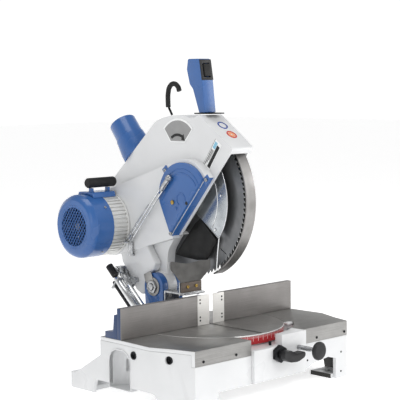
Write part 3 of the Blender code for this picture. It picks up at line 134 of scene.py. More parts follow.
def enamel(name, light, dark, roughness=0.30):
    """Two-pack enamel sprayed on castings: a wide soft gloss with a slight orange peel of about 3 mm."""
    material, tree, shader, coords = start(name, Coat_Weight=0.25, Coat_Roughness=0.12, Specular_IOR_Level=0.45)
    clouds = add(tree, "TexNoise", {"Vector": (coords, "Object"), "Scale": 9.0, "Detail": 3.0})
    peel = add(tree, "TexNoise", {"Vector": (coords, "Object"), "Scale": 1 / 0.003, "Detail": 1.0})
    share = add(tree, "MapRange", {**NOISE_RUN, "Value": (clouds, "Fac"), "To Min": 0.0, "To Max": 1.0})
    tone = add(tree, "Mix", {0: (share, 0), 6: linear(light), 7: linear(dark)}, data_type="RGBA")
    bump = add(tree, "Bump", {"Height": (peel, "Fac"), "Strength": 0.10, "Distance": 0.0002})
    gloss = add(tree, "MapRange", {**NOISE_RUN, "Value": (clouds, "Fac"),
                                   "To Min": roughness - 0.04, "To Max": roughness + 0.06})
    tree.links.new(tone.outputs[2], shader.inputs["Base Color"])
    tree.links.new(gloss.outputs[0], shader.inputs["Roughness"])
    tree.links.new(bump.outputs[0], shader.inputs["Normal"])
    return material


def ground_metal(name, light, dark, along, roughness, metallic=0.85, grain=0.0009, depth=0.25):
    """Metal finished on a surface grinder or with a belt: fine lines a millimetre apart that run one way."""
    material, tree, shader, coords = start(name, Metallic=metallic)
    lines = [1 / grain] * 3
    lines["XYZ".index(along)] = 12.0
    stretched = add(tree, "Mapping", {"Vector": (coords, "Object"), "Scale": lines})
    scratches = add(tree, "TexNoise", {"Vector": (stretched, 0), "Scale": 1.0, "Detail": 4.0, "Roughness": 0.6})
    stains = add(tree, "TexNoise", {"Vector": (coords, "Object"), "Scale": 16.0, "Detail": 5.0, "Roughness": 0.6})
    blend = add(tree, "Math", {0: (scratches, "Fac"), 1: (stains, "Fac")}, operation="ADD")
    share = add(tree, "MapRange", {"Value": (blend, 0), "From Min": 0.7, "From Max": 1.3})
    tone = add(tree, "Mix", {0: (share, 0), 6: linear(light), 7: linear(dark)}, data_type="RGBA")
    gloss = add(tree, "MapRange", {**NOISE_RUN, "Value": (scratches, "Fac"),
                                   "To Min": roughness - 0.06, "To Max": roughness + 0.08})
    bump = add(tree, "Bump", {"Height": (scratches, "Fac"), "Strength": depth, "Distance": 0.00015})
    tree.links.new(tone.outputs[2], shader.inputs["Base Color"])
    tree.links.new(gloss.outputs[0], shader.inputs["Roughness"])
    tree.links.new(bump.outputs[0], shader.inputs["Normal"])
    return material


def plated(name, light, dark, roughness=0.18):
    """Zinc or chrome plate on turned steel: bright, with faint smudges a few millimetres wide."""
    material, tree, shader, coords = start(name, Metallic=1.0)
    smudges = add(tree, "TexNoise", {"Vector": (coords, "Object"), "Scale": 140.0, "Detail": 4.0})
    share = add(tree, "MapRange", {**NOISE_RUN, "Value": (smudges, "Fac"), "To Min": 0.0, "To Max": 1.0})
    tone = add(tree, "Mix", {0: (share, 0), 6: linear(light), 7: linear(dark)}, data_type="RGBA")
    gloss = add(tree, "MapRange", {**NOISE_RUN, "Value": (smudges, "Fac"),
                                   "To Min": roughness - 0.05, "To Max": roughness + 0.10})
    tree.links.new(tone.outputs[2], shader.inputs["Base Color"])
    tree.links.new(gloss.outputs[0], shader.inputs["Roughness"])
    return material


def moulded(name, light, dark, roughness, texture=0.0012, depth=0.3):
    """Moulded plastic or rubber: a matt spark-eroded texture about a millimetre across."""
    material, tree, shader, coords = start(name, Specular_IOR_Level=0.4)
    grain = add(tree, "TexNoise", {"Vector": (coords, "Object"), "Scale": 1 / texture, "Detail": 2.0})
    wear = add(tree, "TexNoise", {"Vector": (coords, "Object"), "Scale": 45.0, "Detail": 4.0})
    share = add(tree, "MapRange", {**NOISE_RUN, "Value": (wear, "Fac"), "To Min": 0.0, "To Max": 1.0})
    tone = add(tree, "Mix", {0: (share, 0), 6: linear(light), 7: linear(dark)}, data_type="RGBA")
    gloss = add(tree, "MapRange", {**NOISE_RUN, "Value": (wear, "Fac"),
                                   "To Min": roughness - 0.06, "To Max": roughness + 0.08})
    bump = add(tree, "Bump", {"Height": (grain, "Fac"), "Strength": depth, "Distance": 0.0002})
    tree.links.new(tone.outputs[2], shader.inputs["Base Color"])
    tree.links.new(gloss.outputs[0], shader.inputs["Roughness"])
    tree.links.new(bump.outputs[0], shader.inputs["Normal"])
    return material


def ringed_steel(name, light, dark, roughness, ring, anisotropic, metallic=1.0):
    """Sheet steel ground on a turning table: rings round the arbor that stretch each highlight into rays."""
    material, tree, shader, coords = start(name, Metallic=metallic, Anisotropic=anisotropic)
    centred = add(tree, "Mapping", {"Vector": (coords, "Object"), "Location": (0.0, -ARBOR.y, -ARBOR.z)})
    rings = add(tree, "TexWave", {"Vector": (centred, 0), "Scale": 1 / ring, "Distortion": 0.6, "Detail": 3.0},
                wave_type="RINGS", rings_direction="X")
    smudges = add(tree, "TexNoise", {"Vector": (coords, "Object"), "Scale": 24.0, "Detail": 4.0})
    share = add(tree, "MapRange", {**NOISE_RUN, "Value": (smudges, "Fac"), "To Min": 0.0, "To Max": 1.0})
    tone = add(tree, "Mix", {0: (share, 0), 6: linear(light), 7: linear(dark)}, data_type="RGBA")
    bump = add(tree, "Bump", {"Height": (rings, "Fac"), "Strength": 0.12, "Distance": 0.0001})
    gloss = add(tree, "MapRange", {**NOISE_RUN, "Value": (smudges, "Fac"),
                                   "To Min": roughness - 0.05, "To Max": roughness + 0.10})
    tangent = add(tree, "Tangent", direction_type="RADIAL", axis="X")
    tree.links.new(tone.outputs[2], shader.inputs["Base Color"])
    tree.links.new(gloss.outputs[0], shader.inputs["Roughness"])
    tree.links.new(bump.outputs[0], shader.inputs["Normal"])
    tree.links.new(tangent.outputs[0], shader.inputs["Tangent"])
    return material


def printed_scale(name, ground, ticks):
    """Red band printed with a white tick for each degree and a longer one at every fifth."""
    material, tree, shader, coords = start(name, Roughness=0.42)
    axes = add(tree, "SeparateXYZ", {"Vector": (coords, "Object")})
    angle = add(tree, "Math", {0: (axes, "X"), 1: (axes, "Y")}, operation="ARCTAN2")
    marks = []
    for step, width, foot in ((1.0, 0.16, -0.0085), (5.0, 0.07, -0.0145)):
        turns = add(tree, "Math", {0: (angle, 0), 1: 1 / math.radians(step)}, operation="MULTIPLY")
        part = add(tree, "Math", {0: (turns, 0)}, operation="FRACT")
        line = add(tree, "Math", {0: (part, 0), 1: width}, operation="LESS_THAN")
        high = add(tree, "Math", {0: (axes, "Z"), 1: TABLE + foot}, operation="GREATER_THAN")
        marks.append(add(tree, "Math", {0: (line, 0), 1: (high, 0)}, operation="MULTIPLY"))
    either = add(tree, "Math", {0: (marks[0], 0), 1: (marks[1], 0)}, operation="MAXIMUM")
    tone = add(tree, "Mix", {0: (either, 0), 6: linear(ground), 7: linear(ticks)}, data_type="RGBA")
    tree.links.new(tone.outputs[2], shader.inputs["Base Color"])
    return material


# Two-pack enamel on sand castings and pressings: a wide soft gloss over tone clouds about 110 mm across.
WHITE = enamel("white_enamel", "#e2e3e4", "#dadbdc")
BLUE = enamel("blue_enamel", "#3866a6", "#315c99", 0.26)
DARK_BLUE = enamel("dark_blue_enamel", "#1d3b68", "#18335b", 0.36)

# Grey cast iron off a surface grinder: lines 0.9 mm apart, drawn coarser than the real 0.1 mm so that they show, which
# streak the gloss one way. The turntable is ground across the wings, so its lines catch the light differently.
IRON = ground_metal("ground_cast_iron", "#a6a5a3", "#908f8d", "X", 0.42)
DISC_IRON = ground_metal("ground_turntable_iron", "#a9a8a6", "#8d8c8a", "Y", 0.36)
FENCE_IRON = ground_metal("ground_fence_iron", "#94918f", "#827f7d", "X", 0.46)
# Bright turned top edge of the turntable: real turned metal, with its near-white tone a painted highlight along the
# rim.
TURNED_EDGE_HIGHLIGHT = ground_metal("turned_edge_painted_highlight", "#f2f2f0", "#dcdcda", "X", 0.22, 0.6)

# Milled aluminium plates, pale and nearly matt; and die-cast aluminium, whose 2 mm grain is soft and shallow.
INSERT = ground_metal("milled_aluminium", "#eeece8", "#dfddd9", "X", 0.42, 0.35)
DIECAST = ground_metal("die_cast_aluminium", "#efefed", "#dcdcda", "Z", 0.40, 0.6, 0.002, 0.15)

# Turned steel: dull zinc plate, mirror-like hard chrome, chemically blackened or browned; brass and sintered carbide.
ZINC = plated("zinc_plated_steel", "#bfc0c2", "#97999b", 0.26)
CHROME = plated("hard_chrome", "#e8e9ea", "#cfd1d3", 0.10)
BRASS = plated("brass", "#b99c58", "#8f7840", 0.25)
CARBIDE = plated("carbide", "#cfcfcd", "#9c9c9a", 0.30)
BLACK_METAL = plated("blackened_steel", "#3a3b3d", "#242527", 0.30)
BROWNED = ground_metal("browned_steel", "#6d625a", "#57504a", "X", 0.42, 0.7)

# Sheet steel with rings 2.4 to 6 mm apart round the arbor: highlights spread into rays, most of all on the blade.
POLISHED = ringed_steel("polished_guard_sheet", "#c4c8cb", "#a3a8ac", 0.20, 0.004, 0.5)
BLADE = ringed_steel("saw_blade_steel", "#838486", "#6c6e70", 0.32, 0.0024, 0.75, 0.7)
GUARD_SHEET = ringed_steel("brushed_guard_rim", "#a09e9d", "#8a8886", 0.32, 0.006, 0.3)

# Glass-filled polyamide, with a 1.2 mm spark-eroded grain; rubber, with a coarser 1.6 mm one and hardly any gloss.
PLASTIC = moulded("black_polyamide", "#202022", "#161618", 0.42)
RUBBER = moulded("black_rubber", "#1b1b1b", "#121212", 0.62, 0.0016, 0.4)
GREY_RUBBER = moulded("worn_rubber_sheet", "#6b6a68", "#575654", 0.50, 0.0016, 0.3)

# Painted shade inside the base's hollow: a dark casting skin, rough as the sand it was poured in, 2.5 mm grains and
# without gloss, darkened for the shade that falls in there.
HOLLOW_SHADE_IRON = moulded("painted_shade_cast_iron", "#3c3b39", "#2d2c2b", 0.7, 0.0025, 0.5)

# Screen-printed vinyl film: flat solid colours with an even satin gloss and almost no grain.
SCALE = printed_scale("printed_scale_band", "#ae1620", "#eadedd")
PANEL_GREY = moulded("grey_print", "#9a9a9a", "#919191", 0.45, 0.002, 0.05)
INK = moulded("black_print", "#101012", "#0a0a0c", 0.40, 0.002, 0.05)
PAPER = moulded("white_film", "#f6f7f7", "#eff0f0", 0.35, 0.002, 0.05)
INK_BLUE = moulded("blue_print", "#2c4d9c", "#284690", 0.40, 0.002, 0.05)
INK_RED = moulded("red_print", "#cf4034", "#c0382d", 0.40, 0.002, 0.05)
INK_ORANGE = moulded("orange_print", "#f0a57c", "#ea9c72", 0.40, 0.002, 0.05)
INK_SKY = moulded("light_blue_print", "#8fc3da", "#84bbd4", 0.40, 0.002, 0.05)


# ------------------------------------------------------------------ modelling helpers
def deselect():
    if bpy.context.object and bpy.context.object.mode != "OBJECT":
        bpy.ops.object.mode_set(mode="OBJECT")
    bpy.ops.object.select_all(action="DESELECT")


def activate(obj):
    deselect()
    obj.select_set(True)
    bpy.context.view_layer.objects.active = obj
    return obj


def pick(obj, wanted, kind="FACE"):
    """Leaves edit mode on obj with only the wanted faces, edges or vertices selected."""
    activate(obj)
    bpy.ops.object.mode_set(mode="EDIT")
    bpy.ops.mesh.select_mode(type=kind)
    bpy.ops.mesh.select_all(action="DESELECT")
    bpy.ops.object.mode_set(mode="OBJECT")
    mesh = obj.data
    items = {"FACE": mesh.polygons, "EDGE": mesh.edges, "VERT": mesh.vertices}[kind]
    for item in items:
        if wanted(item):
            item.select = True
    bpy.ops.object.mode_set(mode="EDIT")


def leave():
    bpy.ops.object.mode_set(mode="OBJECT")


def apply_all(obj):
    activate(obj)
    for modifier in list(obj.modifiers):
        bpy.ops.object.modifier_apply(modifier=modifier.name)
    return obj


def smooth(obj, angle=32):
    activate(obj)
    bpy.ops.object.shade_smooth_by_angle(angle=math.radians(angle))
    return obj


def settle(obj, name, body, finish, angle=32, replaced=()):
    """Finished piece: place baked into its mesh, smoothed, painted, riding on its body."""
    obj.name = name
    obj.data.name = name
    obj.data.transform(obj.matrix_world)
    obj.matrix_world = Matrix.Identity(4)
    if finish:
        obj.data.materials.clear()
        obj.data.materials.append(finish)
    smooth(obj, angle)
    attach(obj, body)
    if replaced:
        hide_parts(*replaced)
    return obj


def body_of(node):
    return frame["nodes"][node]["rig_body"]


def copy_of(node, name):
    """Merged copy of a CAD node's mesh with its flat triangles dissolved back to faces."""
    source = frame["nodes"][node]
    made = bpy.data.objects.new(name, source.data.copy())
    bpy.context.scene.collection.objects.link(made)
    activate(made)
    bpy.ops.object.mode_set(mode="EDIT")
    bpy.ops.mesh.select_all(action="SELECT")
    bpy.ops.mesh.remove_doubles(threshold=0.00001)
    bpy.ops.mesh.dissolve_limited(angle_limit=math.radians(0.6))
    leave()
    return made


def round_edges(obj, width, segments=2, angle=32):
    bevel = obj.modifiers.new("soft edges", "BEVEL")
    bevel.width = width
    bevel.segments = segments
    bevel.limit_method = "ANGLE"
    bevel.angle_limit = math.radians(angle)
    bevel.harden_normals = False
    return apply_all(obj)


def carry(node, name, width, finish, segments=2, angle=32, cutters=()):
    """CAD piece with its edges rounded as the real casting or sheet has them."""
    made = copy_of(node, name)
    for cutter in cutters:
        subtract(made, cutter)
    if width:
        round_edges(made, width, segments, angle)
    return settle(made, name, body_of(node), finish, replaced=(node,))


def subtract(obj, cutter):
    hole = obj.modifiers.new("cut", "BOOLEAN")
    hole.operation = "DIFFERENCE"
    hole.solver = "EXACT"
    hole.object = cutter
    apply_all(obj)
    bpy.data.objects.remove(cutter, do_unlink=True)


def cylinder(place, axis, radius, length, sides=48, top=None):
    """Cylinder primitive standing on a place and reaching along an axis."""
    deselect()
    direction = Vector(axis).normalized()
    middle = Vector(place) + direction * length / 2
    turn = direction.to_track_quat("Z", "Y").to_euler()
    if top is None:
        bpy.ops.mesh.primitive_cylinder_add(vertices=sides, radius=radius, depth=length, location=middle, rotation=turn)
    else:
        bpy.ops.mesh.primitive_cone_add(vertices=sides, radius1=radius, radius2=top, depth=length, location=middle,
                                        rotation=turn)
    made = bpy.context.object
    bpy.ops.object.transform_apply(location=True, rotation=True, scale=True)
    return made


def block(low, high):
    deselect()
    middle = (Vector(low) + Vector(high)) / 2
    size = Vector(high) - Vector(low)
    bpy.ops.mesh.primitive_cube_add(size=1.0, location=middle, scale=size)
    bpy.ops.object.transform_apply(location=True, rotation=True, scale=True)
    return bpy.context.object


def flat_shape(outlines, thickness, place):
    """Flat curve outlines, the later ones holes, made a mesh of a thickness and set by a matrix."""
    curve = bpy.data.curves.new("outline", "CURVE")
    curve.dimensions = "2D"
    curve.fill_mode = "BOTH"
    curve.extrude = thickness / 2
    for outline in outlines:
        spline = curve.splines.new("POLY")
        spline.points.add(len(outline) - 1)
        for point, (a, b) in zip(spline.points, outline):
            point.co = (a, b, 0.0, 1.0)
        spline.use_cyclic_u = True
    made = bpy.data.objects.new("outline", curve)
    bpy.context.scene.collection.objects.link(made)
    activate(made)
    bpy.ops.object.convert(target="MESH")
    made = bpy.context.object
    bpy.ops.object.mode_set(mode="EDIT")
    bpy.ops.mesh.select_all(action="SELECT")
    bpy.ops.mesh.remove_doubles(threshold=0.000005)
    bpy.ops.mesh.normals_make_consistent(inside=False)
    leave()
    made.data.transform(place)
    return made


def bent_tube(points, radius, sides=6, smooth_steps=6):
    """Round wire or pipe along a smooth curve, as a mesh with closed ends."""
    curve = bpy.data.curves.new("wire", "CURVE")
    curve.dimensions = "3D"
    curve.bevel_depth = radius
    curve.bevel_resolution = sides
    curve.use_fill_caps = True
    curve.resolution_u = smooth_steps
    spline = curve.splines.new("BEZIER")
    spline.bezier_points.add(len(points) - 1)
    for knot, place in zip(spline.bezier_points, points):
        knot.co = place
        knot.handle_left_type = "AUTO"
        knot.handle_right_type = "AUTO"
    made = bpy.data.objects.new("wire", curve)
    bpy.context.scene.collection.objects.link(made)
    activate(made)
    bpy.ops.object.convert(target="MESH")
    made = bpy.context.object
    bpy.ops.object.mode_set(mode="EDIT")
    bpy.ops.mesh.select_all(action="SELECT")
    bpy.ops.mesh.remove_doubles(threshold=0.00001)
    bpy.ops.mesh.normals_make_consistent(inside=False)
    leave()
    return made


def fused(pieces):
    """Several shapes as one mesh object."""
    deselect()
    for piece in pieces:
        piece.select_set(True)
    bpy.context.view_layer.objects.active = pieces[0]
    bpy.ops.object.join()
    return bpy.context.object


def side_view(x):
    """Matrix that lays a flat (y, z) outline on the plane at x, facing the operator's left."""
    return Matrix(((0, 0, 1, x), (1, 0, 0, 0), (0, 1, 0, 0), (0, 0, 0, 1)))


def polar(centre, radius, degrees):
    return (centre[0] + radius * math.cos(math.radians(degrees)), centre[1] + radius * math.sin(math.radians(degrees)))


def sweep(centre, radius, first, last, steps):
    return [polar(centre, radius, first + (last - first) * i / steps) for i in range(steps + 1)]


def toward_top(y, height):
    return (y, TABLE + height)


def socket_screw(radius, height, finish_sides=32):
    """Cap screw standing on the origin along +Z: rounded head with a sunk hexagon."""
    head = cylinder((0, 0, 0), (0, 0, 1), radius, height, finish_sides)
    pick(head, lambda face: face.normal.z > 0.9)
    bpy.ops.mesh.inset(thickness=radius * 0.12)
    bpy.ops.transform.translate(value=(0, 0, radius * 0.10))
    bpy.ops.mesh.inset(thickness=radius * 0.36)
    bpy.ops.mesh.extrude_region_move(TRANSFORM_OT_translate={"value": (0, 0, -height * 0.55)})
    leave()
    return head


def stretch(obj, factors):
    """Scales a mesh about the middle of its own box."""
    places = [vertex.co for vertex in obj.data.vertices]
    middle = Vector([(min(p[i] for p in places) + max(p[i] for p in places)) / 2 for i in range(3)])
    scale = Matrix.Diagonal((*factors, 1.0))
    obj.data.transform(Matrix.Translation(middle) @ scale @ Matrix.Translation(-middle))


def set_copies(source, places, name, body, finish):
    """Copies of one modelled piece, each (place, direction) with its own mesh, joined into one piece."""
    copies = []
    for place, direction in places:
        made = source.copy()
        made.data = source.data.copy()
        bpy.context.scene.collection.objects.link(made)
        turn = Vector(direction).to_track_quat("Z", "Y").to_matrix().to_4x4()
        made.data.transform(Matrix.Translation(place) @ turn)
        copies.append(made)
    bpy.data.objects.remove(source, do_unlink=True)
    return settle(fused(copies), name, body, finish)


def paint(node, finish):
    """A CAD piece whose shape is right takes a finished material."""
    mesh = frame["nodes"][node].data
    mesh.materials.clear()
    mesh.materials.append(finish)


def two_finishes(obj, main, other, wanted):
    """One piece in two finishes: the faces that are wanted take the other one."""
    obj.data.materials.clear()
    obj.data.materials.append(main)
    obj.data.materials.append(other)
    for face in obj.data.polygons:
        if wanted(face):
            face.material_index = 1


# ------------------------------------------------------------------ base, table and fence
def build_base():
    """White casting with the scooped niche and two threaded bores in its left wall."""
    left = cad_low.x
    wall = left + 0.0017
    niche = cylinder((wall + 0.0080, 0.0040, 0.0230), (0, 0, 1), 0.0345, 0.0550, 64)
    pick(niche, lambda face: face.normal.z > 0.9)
    for rise, shrink in ((0.0120, 0.94), (0.0090, 0.80), (0.0060, 0.48)):
        bpy.ops.mesh.extrude_region_move(TRANSFORM_OT_translate={"value": (0, 0, rise)})
        bpy.ops.transform.resize(value=(shrink, shrink, 1.0))
    leave()
    scoop = niche.copy()
    scoop.data = niche.data.copy()
    bpy.context.scene.collection.objects.link(scoop)
    opening = block((wall - 0.0400, -0.0600, 0.0), (wall + 0.0010, 0.0700, 0.2))
    subtract(scoop, opening)
    pick(scoop, lambda face: face.normal.x < -0.9 and face.center.x < wall + 0.0012)
    bpy.ops.mesh.delete(type="FACE")
    leave()
    shell = scoop.modifiers.new("shell", "SOLIDIFY")
    shell.thickness = 0.0020
    shell.offset = 1.0
    apply_all(scoop)
    settle(scoop, "wall_niche", "base", WHITE)
    places = ((wall - 0.0006, -0.0430, -0.0250), (wall + 0.0150, -0.1365, -0.0235))
    bores = [cylinder((left - 0.01, y, TABLE + height), (1, 0, 0), 0.0088, 0.045, 40) for x, y, height in places]
    casting = copy_of("base_casting", "base_body")
    for cutter in (niche, *bores):
        subtract(casting, cutter)
    round_edges(casting, 0.0022, 3, 35)
    # Faces inside the hollow take the dark painted shade; the rest is white enamel.
    two_finishes(casting, WHITE, HOLLOW_SHADE_IRON, shaded_inside)
    settle(casting, "base_body", "base", None, replaced=("base_casting",))
    rings = []
    for x, y, height in places:
        sleeve = cylinder((x, y, TABLE + height), (1, 0, 0), 0.0086, 0.014, 40)
        pick(sleeve, lambda face: abs(face.normal.x) > 0.9)
        bpy.ops.mesh.inset(thickness=0.0022)
        bpy.ops.mesh.delete(type="FACE")
        leave()
        rings.append(sleeve)
    for ring in rings:
        give_wall(ring)
    settle(fused(rings), "threaded_bore_liners", "base", BLACK_METAL)
    carry("front_block", "front_block_body", 0.0016, WHITE, 3)
    lug = block((0.124, -0.118, TABLE - 0.0060), (0.142, -0.104, TABLE - 0.0002))
    round_edges(lug, 0.0030, 4, 40)
    settle(lug, "groove_end_lug", "base", WHITE)


def shaded_inside(face):
    """True for a face of the casting that looks into the open hollow under the base's right half, where the dark
    painted shade goes.
    """
    inward = face.center.x * face.normal.x + (face.center.y + 0.02) * face.normal.y < 0 and abs(face.normal.z) < 0.7
    inside = 0.0 < face.center.x < 0.2560 and face.center.y > BASE_FRONT + 0.006
    return inside and (inward or face.normal.z < -0.7) and 0.002 < face.center.z < TABLE - 0.030


def give_wall(sleeve):
    """Gives an open tube a wall, which closes its ends."""
    wall = sleeve.modifiers.new("wall", "SOLIDIFY")
    wall.thickness = 0.0008
    apply_all(sleeve)


def build_table():
    """Ground wings: iron on top and in front, white paint round their outer ends."""
    for side in ("left", "right"):
        made = copy_of(f"table_{side}", f"table_wing_{side}")
        round_edges(made, 0.0009, 2)
        two_finishes(made, IRON, WHITE, painted_end)
        settle(made, f"table_wing_{side}", "base", None, replaced=(f"table_{side}",))
    screw = socket_screw(0.0030, 0.0012, 20)
    places = [((x, BASE_FRONT + 0.0002, TABLE - 0.0238), (0, -1, 0)) for x in (-0.2115, -0.118, 0.225, 0.132)]
    set_copies(screw, places, "front_strip_screws", "base", BLACK_METAL)
    pins = socket_screw(0.0022, 0.0006, 16)
    spots = ((0.214, -0.0682), (0.2135, -0.112), (0.1015, -0.0700))
    places = [((x, BASE_FRONT + 0.0002, TABLE + z), (0, -1, 0)) for x, z in spots]
    set_copies(pins, places, "wall_plugs", "base", BLACK_METAL)


def painted_end(face):
    """True for a face at a wing's outer end, where the base's paint runs up to the ground top."""
    outside = math.hypot(face.center.x, face.center.y) > WELL + 0.03
    end_wall = abs(face.normal.x) > 0.6 and outside and abs(face.center.x) > 0.2
    chamfer = abs(face.normal.x) > 0.2 and abs(face.center.x) > 0.235 and abs(face.normal.z) < 0.5
    return end_wall or chamfer


def build_fence():
    """Ground halves with painted backs and ends, milled inserts with four screws each, and the painted feet."""
    for side, sign in (("left", -1), ("right", 1)):
        made = copy_of(f"fence_{side}", f"fence_half_{side}")
        round_edges(made, 0.0007, 2)
        two_finishes(made, FENCE_IRON, DARK_BLUE, fence_back)
        settle(made, f"fence_half_{side}", "base", None, replaced=(f"fence_{side}",))
        carry(f"fence_insert_{side}", f"fence_plate_{side}", 0.0004, INSERT)
        carry(f"fence_bracket_{side}", f"fence_foot_{side}", 0.0012, DARK_BLUE, 3)
        dimple = socket_screw(0.0021, 0.0004, 20)
        heights = (0.0575, 0.0500, 0.0185, 0.0110)
        places = [((sign * 0.0335, 0.0001, TABLE + height), (0, -1, 0)) for height in heights]
        set_copies(dimple, places, f"insert_screws_{side}", "base", BLACK_METAL)


def fence_back(face):
    """True for a face on the fence's unground back or its outer end."""
    outer_end = abs(face.normal.x) > 0.5 and abs(face.center.x) > 0.2 and face.center.y > 0.0045
    return face.normal.y > 0.5 or outer_end


def build_turntable():
    """Ground disc with a turned rim painted bright as a highlight, its printed scale and the pointer."""
    made = copy_of("turntable", "turntable_disc")
    round_edges(made, 0.0014, 3, 50)
    two_finishes(made, DISC_IRON, TURNED_EDGE_HIGHLIGHT, highlight_rim)
    settle(made, "turntable_disc", "table_rotor", None, replaced=("turntable",))
    paint("mitre_scale", SCALE)
    paint("scale_pointer", BLACK_METAL)


def highlight_rim(face):
    """True for a face on the turntable's top edge, which takes the painted highlight."""
    return math.hypot(face.center.x, face.center.y) > WELL - 0.0030 and face.center.z > TABLE - 0.0032


def build_controls():
    """Clamp lever with its hexagon, and the index plunger's knob."""
    lever = copy_of("lock_lever", "lever")
    round_edges(lever, 0.0042, 4, 25)
    settle(lever, "clamp_lever", "lock", PLASTIC, 60, ("lock_lever",))
    carry("lock_screw", "clamp_hexagon", 0.0010, BLACK_METAL, 3)
    carry("index_knob", "index_knob_rim", 0.0010, PLASTIC, 3)
    low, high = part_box("index_plunger")
    centre = (low + high) / 2
    rod = copy_of("index_plunger", "index_rod")
    round_edges(rod, 0.0005)
    settle(rod, "index_rod", "index", ZINC, replaced=("index_plunger",))
    threads = []
    for i in range(14):
        place = (centre.x, BASE_FRONT - 0.010 - i * 0.0024, centre.z)
        deselect()
        bpy.ops.mesh.primitive_torus_add(location=place, rotation=(math.pi / 2, 0, 0), major_segments=28,
                                         minor_segments=6, major_radius=0.0047, minor_radius=0.0007)
        bpy.ops.object.transform_apply(location=True, rotation=True, scale=True)
        threads.append(bpy.context.object)
    settle(fused(threads), "index_rod_thread", "index", ZINC, 60)


# ------------------------------------------------------------------ head
def build_head():
    """White castings of the head with the blue lower edge of the belt case, and everything fixed to them."""
    carry("head_housing", "head_casting", 0.0024, WHITE, 3, 30)
    carry("right_cover", "head_side_cover", 0.0010, WHITE, 2)
    case = copy_of("belt_case", "belt_case_casting")
    round_edges(case, 0.0060, 4, 50)
    nose = Vector(toward_top(-0.0550, 0.3160))
    foot = Vector(toward_top(0.0600, 0.1960))
    along = (foot - nose).normalized()

    def lower_edge(face):
        """True for a face on the case's sloping lower side, between the nose and the foot."""
        drop = (Vector((face.center.y, face.center.z)) - nose).dot(along)
        downward = face.normal.y * along.y - face.normal.z * along.x
        return downward > 0.55 and -0.010 < drop < 0.20

    two_finishes(case, WHITE, BLUE, lower_edge)
    settle(case, "belt_case_casting", "head", None, replaced=("belt_case",))
    carry("arbor_cover", "arbor_cover_pressing", 0.0008, BLUE, 2, 20)
    build_cover_trim()
    build_markings()
    build_handle()
    build_outlet()
    build_hook()
    build_tie_rods()


def build_cover_trim():
    """Screws, tabs, pressed ribs and the brass pivot on the arbor's cover."""
    face = COVER_FACE
    centre = toward_top(0.018, 0.288)
    tabs = []
    for y, height, turn in ((0.0760, 0.3430, 50), (-0.0545, 0.3280, 140)):
        outline = []
        for a, b in ((-0.009, -0.008), (0.009, -0.008), (0.009, 0.008), (-0.009, 0.008)):
            cos, sin = math.cos(math.radians(turn)), math.sin(math.radians(turn))
            outline.append((y + a * cos - b * sin, TABLE + height + a * sin + b * cos))
        tab = flat_shape([outline], 0.0024, side_view(CASE_FACE - 0.0014))
        round_edges(tab, 0.0006)
        tabs.append(tab)
    settle(fused(tabs), "cover_tabs", "head", BLUE)
    screw = socket_screw(0.0042, 0.0030, 24)
    places = [((CASE_FACE - 0.0024, y, TABLE + z), (-1, 0, 0)) for y, z in ((0.0760, 0.3430), (-0.0545, 0.3280))]
    places.append(((face - 0.0002, 0.0540, TABLE + 0.2040), (-1, 0, 0)))
    set_copies(screw, places, "cover_screws", "head", ZINC)
    ribs = []
    for radius, first, last in ((0.0610, 20, 160), (0.0520, 35, 150)):
        points = [(face - 0.0001, *polar(centre, radius, first + (last - first) * i / 8)) for i in range(9)]
        ribs.append(bent_tube(points, 0.0012, 3))
    points = [(face - 0.0001, *polar(toward_top(0.0210, 0.2820), 0.0135, a)) for a in range(-60, 211, 30)]
    ribs.append(bent_tube(points, 0.0016, 3))
    settle(fused(ribs), "cover_pressed_ribs", "head", BLUE, 60)
    knob = cylinder((face, 0.0470, TABLE + 0.2740), (-1, 0, 0), 0.0050, 0.0035, 32)
    round_edges(knob, 0.0012, 3)
    settle(knob, "cover_brass_stud", "head", BRASS)
    # A black disc painted as the shade inside the peep hole.
    hole = cylinder((face - 0.0003, 0.0030, TABLE + 0.2745), (1, 0, 0), 0.0040, 0.0012, 28)
    round_edges(hole, 0.0003)
    settle(hole, "cover_peep_hole_shade", "head", INK)
    bump = cylinder((face, 0.0370, TABLE + 0.2615), (-1, 0, 0), 0.0042, 0.0024, 28, 0.0030)
    round_edges(bump, 0.0008, 3)
    settle(bump, "cover_dimple", "head", BLUE)


